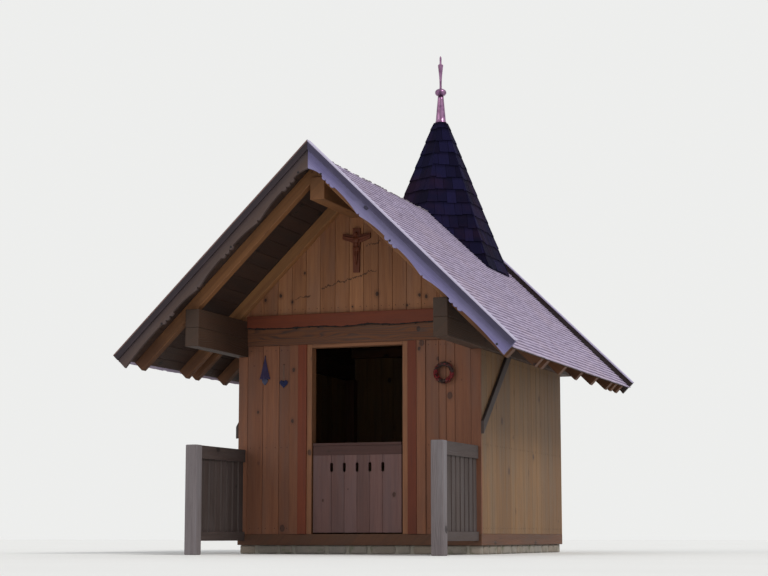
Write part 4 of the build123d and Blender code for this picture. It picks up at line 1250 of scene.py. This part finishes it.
# Wreath: wound twigs with leaves and berries, dark, crimson at the lower right and on the left

wreath_low, wreath_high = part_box("wreath")
wreath_centre = (wreath_low + wreath_high) / 2
WREATH_TUBE = (wreath_high.y - wreath_low.y) / 2
WREATH_RING = (wreath_high.x - wreath_low.x) / 2 - WREATH_TUBE
STRANDS, LEAF_COUNT, BERRY_COUNT = 9, 480, 75
CRIMSON_AT = (315, 185)


def on_wreath(around, turn, tube):
    """A point at the angle around of the wreath, tube away from its middle line; turn 0 points outwards."""
    out = Vector((cos(around), 0, sin(around)))
    return wreath_centre + out * (WREATH_RING + tube * cos(turn)) - Vector((0, tube * sin(turn), 0))


def add_leaf(bm, foot, direction, normal, length, width, tone):
    """A pointed leaf, folded along its middle and bent back at the tip."""
    side = direction.cross(normal).normalized()
    stations = []
    for share, wide in ((0.0, 0.10), (0.25, 0.80), (0.5, 1.0), (0.78, 0.6), (1.0, 0.04)):
        middle = foot + direction * length * share - normal * length * 0.25 * share * share
        half = side * width * wide / 2
        rise = normal * (0.0005 + 0.10 * width * wide)
        stations.append(add_ring(bm, (middle - half + rise, middle + normal * 0.0004, middle + half + rise,
                                      middle - normal * 0.0006), tone))
    join_rings(bm, stations)


def is_crimson(around, rng):
    """Crimson is common near two places of the wreath and rare elsewhere."""
    bearing = degrees(around) % 360
    near = min(abs(bearing - place) for place in CRIMSON_AT)
    return rng.random() < (0.75 if near < 38 else 0.12)


rng = random.Random(12)
bm = new_mesh()
for strand in range(STRANDS):
    points, radii = [], []
    wander = rng.uniform(0, 7)
    for step in range(121):
        around = 2 * pi * step / 120
        tube = WREATH_TUBE * (0.42 + 0.16 * sin(3 * around + wander))
        points.append(on_wreath(around, 4 * around + 2 * pi * strand / STRANDS, tube))
        radii.append(0.0026 + 0.0008 * sin(11 * around + wander))
    add_tube(bm, points, radii, 5, rng.random())
make_piece("wreath_twigs", bm, TWIGS, None, ["wreath"], smooth=True)

dark_leaves, red_leaves, berries = new_mesh(), new_mesh(), new_mesh()
for _ in range(LEAF_COUNT):
    around, turn = rng.uniform(0, 2 * pi), rng.uniform(-0.6, pi + 0.9)
    foot = on_wreath(around, turn, WREATH_TUBE * rng.uniform(0.25, 0.5))
    outward = (on_wreath(around, turn, WREATH_TUBE) - foot).normalized()
    tangent = Vector((-sin(around), 0, cos(around)))
    direction = (tangent * rng.uniform(0.5, 1.1) + outward * rng.uniform(0.25, 0.6)).normalized()
    normal = (outward - direction * outward.dot(direction)).normalized()
    target = red_leaves if is_crimson(around, rng) else dark_leaves
    length, width = rng.uniform(0.020, 0.032), rng.uniform(0.008, 0.012)
    add_leaf(target, foot, direction, normal, length, width, rng.random())
for _ in range(BERRY_COUNT):
    around = radians(rng.choice(CRIMSON_AT) + rng.gauss(0, 24))
    if rng.random() < 0.2:
        around = rng.uniform(0, 2 * pi)
    turn = rng.uniform(0.1, pi - 0.1)
    radius = rng.uniform(0.0032, 0.0048)
    centre = on_wreath(around, turn, WREATH_TUBE * rng.uniform(0.62, 0.86))
    add_ball(berries, centre, (radius,) * 3, rng.random())
make_piece("wreath_leaves_dark", dark_leaves, LEAVES, None, ["wreath"])
make_piece("wreath_leaves_red", red_leaves, BERRIES, "berries", ["wreath"])
make_piece("wreath_berries", berries, BERRIES, "berries", ["wreath"], smooth=True)

# Puffed heart on a string

heart_low, heart_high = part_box("hanging_heart")
heart_centre = (heart_low + heart_high) / 2
HEART_NAIL = 1.726
HEART_SCALE = (heart_high.x - heart_low.x) / 32
HEART_STEPS = 72
heart_lift = heart_high.z - 11.95 * HEART_SCALE
outline = []
for step in range(HEART_STEPS):
    t = 2 * pi * step / HEART_STEPS
    outline.append((16 * sin(t) ** 3, 13 * cos(t) - 5 * cos(2 * t) - 2 * cos(3 * t) - cos(4 * t)))
bm = new_mesh()
rings = []
for step in range(13):
    turn = pi * (step / 12 - 0.5)
    shrink = max(0.02, cos(turn)) ** 0.75
    depth = heart_centre.y - (heart_high.y - heart_low.y) / 2 * sin(turn)
    seam = 1 if abs(step - 6) else 0.985
    rings.append(add_ring(bm, [Vector((heart_centre.x + x * HEART_SCALE * shrink * seam, depth,
                                       heart_lift + (z * shrink * seam - 1.5 * (1 - shrink)) * HEART_SCALE))
                               for x, z in outline]))
join_rings(bm, rings)
make_piece("heart_puffed", bm, HEART_CLOTH, "blue_paint", ["hanging_heart"], smooth=True)
bm = new_mesh()
heart_top = heart_lift + 4.6 * HEART_SCALE
for spread in (-0.006, 0.006):
    string = [Vector((heart_centre.x + spread, heart_centre.y, heart_top)),
              Vector((heart_centre.x + spread * 0.7, heart_centre.y, heart_top + 0.05)),
              Vector((heart_centre.x, heart_centre.y + 0.003, HEART_NAIL))]
    add_tube(bm, string, [0.0009] * 3, 6)
add_ball(bm, Vector((heart_centre.x, heart_centre.y, heart_top - 0.002)), (0.0075, 0.0035, 0.003))
make_piece("heart_string", bm, STRING, None, ["hanging_heart"], smooth=True)

# Drop: a fluted cloth cone on a hook, with a bulb under its hem

drop_low, drop_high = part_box("hanging_drop")
drop_centre = (drop_low + drop_high) / 2
DROP_HEM = drop_high.z - 0.225
DROP_DEPTH = (drop_high.y - drop_low.y) / 2
DROP_STEPS = 96


def pressed_turning(profile, name, material, flutes=0):
    """A flattened turned shape; profile holds share of fluting, half width, half depth and level."""
    bm = new_mesh()
    rings = []
    for fluting, wide, deep, level in profile:
        ring = []
        for step, (cosine, sine) in enumerate(circle(DROP_STEPS)):
            flute = 0.5 + 0.5 * cos(flutes * 2 * pi * step / DROP_STEPS)
            x = wide * cosine * (1 - 0.03 * fluting * flute)
            y = deep * sine * (1 - 0.45 * fluting * flute)
            ring.append(Vector((drop_centre.x + x, drop_centre.y + y, level + 0.004 * fluting ** 3 * flute)))
        rings.append(add_ring(bm, ring))
    join_rings(bm, rings)
    make_piece(name, bm, material, "blue_paint", ["hanging_drop"], smooth=True)


cloth = [(0, 0.0035, 0.0025, drop_high.z - 0.010), (0, 0.0060, 0.0040, drop_high.z - 0.016),
         (0.1, 0.0050, 0.0035, drop_high.z - 0.026)]
for step in range(1, 13):
    share = step / 12
    wide = 0.005 + (drop_high.x - drop_centre.x - 0.005) * (0.82 * share + 0.18 * share ** 3)
    cloth.append((0.1 + 0.9 * share, wide, 0.0035 + (DROP_DEPTH - 0.0035) * share,
                  drop_high.z - 0.026 + (DROP_HEM - drop_high.z + 0.026) * share))
cloth.append((1.0, (drop_high.x - drop_centre.x) * 0.9, DROP_DEPTH * 0.55, DROP_HEM + 0.002))
pressed_turning(cloth, "drop_cloth", DROP_CLOTH, flutes=13)
bulb = []
bulb_top = DROP_HEM + 0.010
for share, wide in ((0.0, 0.012), (0.08, 0.022), (0.2, 0.0285), (0.36, 0.030), (0.52, 0.027), (0.68, 0.0205),
                    (0.82, 0.0125), (0.93, 0.006), (1.0, 0.002)):
    deep = DROP_DEPTH * (wide / 0.030) ** 0.6 * 0.97
    bulb.append((0, wide, deep, bulb_top + (drop_low.z - bulb_top) * share))
pressed_turning(bulb, "drop_bulb", PAINT)

# Nail heads, bolts on the bargeboards and the nails that the ornaments hang from

FRONT, REAR = Vector((0, -1, 0)), Vector((0, 1, 0))
NAIL_REACH = 0.28
MIDDLE_ROW = 0.965
REAR_UPPER_ROW = 1.86
UNDER_RAFTERS = 0.055
FROM_EDGE = 0.05
scribe_row = header_high.z + FROM_EDGE


def nail_pair(low, high):
    """The places of two nails side by side in a board."""
    middle, reach = (low + high) / 2, (high - low) * NAIL_REACH
    return middle - reach, middle + reach


bm = new_mesh()
for span in gable_spans:
    for x in nail_pair(*span):
        head = under_roof(x) - UNDER_RAFTERS
        if head > scribe_row:
            add_nail(bm, Vector((x, gable_low.y, head)), FRONT)
        if head > scribe_row + 0.15:
            add_nail(bm, Vector((x, gable_low.y, scribe_row)), FRONT)
for span in right_spans + left_spans:
    for x in nail_pair(*span):
        for z in (wall_low.z + FROM_EDGE, MIDDLE_ROW, wall_high.z - 0.045):
            add_nail(bm, Vector((x, wall_low.y, z)), FRONT)
for side in (-1, 1):
    for span in side_spans:
        for y in nail_pair(*span):
            for z in (right_low.z + FROM_EDGE, MIDDLE_ROW, right_high.z - FROM_EDGE):
                add_nail(bm, Vector((side * right_high.x, y, z)), Vector((side, 0, 0)))
for span in inner_edges:
    for x in nail_pair(*span):
        rows = [rear_low.z + FROM_EDGE, MIDDLE_ROW, REAR_UPPER_ROW]
        if under_roof(x) > 2.1:
            rows.append(under_roof(x) - UNDER_RAFTERS)
        for z in rows:
            add_nail(bm, Vector((x, rear_high.y, z)), REAR)
for x, z, radius in ((heart_centre.x, HEART_NAIL, 0.0042), (drop_centre.x, drop_high.z - 0.006, 0.0042),
                     (wreath_centre.x + 0.055, wreath_high.z - 0.004, 0.0045)):
    add_nail(bm, Vector((x, wall_low.y, z)), FRONT, radius, 0.012)
barge_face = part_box("front_bargeboard_left")[0].y
BOLTS_AT = (-0.09, -0.72, -1.38, 0.12, 0.75, 1.68)
for x in BOLTS_AT:
    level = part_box("verge_strips")[1].z - SLOPE * abs(x) - 0.125 / SLOPE_COS
    add_nail(bm, Vector((x, barge_face, level)), FRONT, 0.010, 0.004)
    add_nail(bm, Vector((x, -barge_face, level)), REAR, 0.010, 0.004)
make_piece("nail_heads", bm, IRON, "iron")

# Bark left along the waved edge of the header beam

board_low, board_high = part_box("header_board")
wave = sorted({(round(v.co.x, 4), round(v.co.z, 4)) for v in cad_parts["header_board"].data.vertices
               if v.co.y < board_low.y + 0.002 and v.co.z > board_high.z - 0.03})


def wave_level(x):
    """The height of the waved edge at x."""
    for (x0, z0), (x1, z1) in zip(wave[:-1], wave[1:]):
        if x0 <= x <= x1 and x1 > x0:
            return z0 + (z1 - z0) * (x - x0) / (x1 - x0)
    return wave[0][1] if x < wave[0][0] else wave[-1][1]


bm = new_mesh()
points, radii = [], []
BARK_STEPS, BARK_LUMPS = 260, 26
for step in range(BARK_STEPS + 1):
    x = -header_high.x + 0.006 + (2 * header_high.x - 0.012) * step / BARK_STEPS
    lump = noise.noise(Vector((x * 18, 3.1, 0.7))) + 0.5 * noise.noise(Vector((x * 52, 1.7, 4.2)))
    points.append(Vector((x, beam_face + 0.005, wave_level(x) - 0.003 + 0.004 * lump)))
    radii.append(max(0.003, 0.0062 + 0.0048 * lump))
add_tube(bm, points, radii, 8, 0.6)
rng = random.Random(44)
for _ in range(BARK_LUMPS):
    x = rng.uniform(-header_high.x + 0.02, header_high.x - 0.02)
    add_ball(bm, Vector((x, beam_face + 0.007, wave_level(x) + rng.uniform(-0.010, 0.004))),
             (rng.uniform(0.006, 0.016), 0.0065, rng.uniform(0.005, 0.010)), rng.random())
make_piece("header_bark", bm, BARK, None, smooth=True)

# Lichen along the ridge

TUFTS = 170
bm = new_mesh()
rng = random.Random(52)
before_spire, behind_spire = (shingle_low.y + 0.05, SPIRE_Y - 0.45), (SPIRE_Y + 0.5, shingle_high.y - 0.05)
for _ in range(TUFTS):
    y = rng.uniform(*(before_spire if rng.random() < 0.85 else behind_spire))
    x = rng.gauss(0, 0.012)
    size = rng.uniform(0.005, 0.016)
    add_ball(bm, Vector((x, y, shingle_crest - SLOPE * abs(x) - 0.007)), (size, size * 1.6, size * 0.5),
             rng.random())
make_piece("ridge_lichen_tufts", bm, LICHEN, None, smooth=True)

# Floor, light and camera


def stage_floor():
    size = 60.0
    mesh = bpy.data.meshes.new("stage_floor")
    mesh.from_pydata([(x, y, 0) for x, y in rectangle(-size, -size, size, size)], [], [(0, 1, 2, 3)])
    s = Surface("pale_floor", Roughness=0.9)
    shade = s.mix(s.cloud(0.6, 2.0), (226, 226, 224), (232, 232, 230))
    s.put(s.shader.inputs["Base Color"], shade)
    mesh.materials.append(s.material)
    add_object("stage_floor", mesh)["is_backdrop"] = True


def studio_world():
    """Soft light on the chapel, and a plain backdrop for the camera and for reflections."""
    world = bpy.data.worlds.new("studio")
    bpy.context.scene.world = world
    tree = Tree(world)
    tree.nodes.clear()
    path = tree.add("ShaderNodeLightPath", {}).outputs
    rays = {0: path["Is Camera Ray"], 1: path["Is Glossy Ray"]}
    seen = tree.add("ShaderNodeMath", rays, {"operation": "MAXIMUM"})
    soft = tree.add("ShaderNodeBackground", {0: (0.93, 0.96, 1.0, 1), 1: 0.62})
    plain = tree.add("ShaderNodeBackground", {0: (0.85, 0.855, 0.845, 1), 1: 1.0})
    mixed = tree.add("ShaderNodeMixShader", {0: seen.outputs[0], 1: soft.outputs[0], 2: plain.outputs[0]})
    tree.add("ShaderNodeOutputWorld", {0: mixed.outputs[0]})


def sun(name, strength, azimuth, elevation, angle, colour):
    """Soft lamp; azimuth 0 shines from the front, 90 from the right."""
    data = bpy.data.lights.new(name, "SUN")
    data.energy, data.angle, data.color = strength, radians(angle), colour
    a, e = radians(azimuth), radians(elevation)
    back = Vector((sin(a) * cos(e), -cos(a) * cos(e), sin(e)))
    add_object(name, data).rotation_euler = back.to_track_quat("Z", "Y").to_euler()


stage_floor()
studio_world()
sun("key_light", 1.7, 66, 46, 18, (1.0, 0.97, 0.93))
sun("fill_light", 0.45, -40, 25, 40, (1.0, 0.93, 0.84))

# The camera looks along the photograph's line of sight, from the right of the front and near the ground

CAMERA_AT = Vector((5.878, -16.116, 0.16))
CAMERA_AIM = Vector((0.02, -0.35, 2.49))
lens = bpy.data.cameras.new("photo_camera")
lens.sensor_width, lens.lens = 36.0, 84.0
lens.clip_start, lens.clip_end = 0.1, 300
camera = add_object("photo_camera", lens)
camera.location = CAMERA_AT
camera.rotation_euler = (CAMERA_AIM - CAMERA_AT).to_track_quat("-Z", "Y").to_euler()
bpy.context.scene.camera = camera
bpy.context.scene.view_settings.view_transform = "Standard"

low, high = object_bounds()
{"cad": [list(cad_low), list(cad_high)], "visual": [list(low), list(high)]}
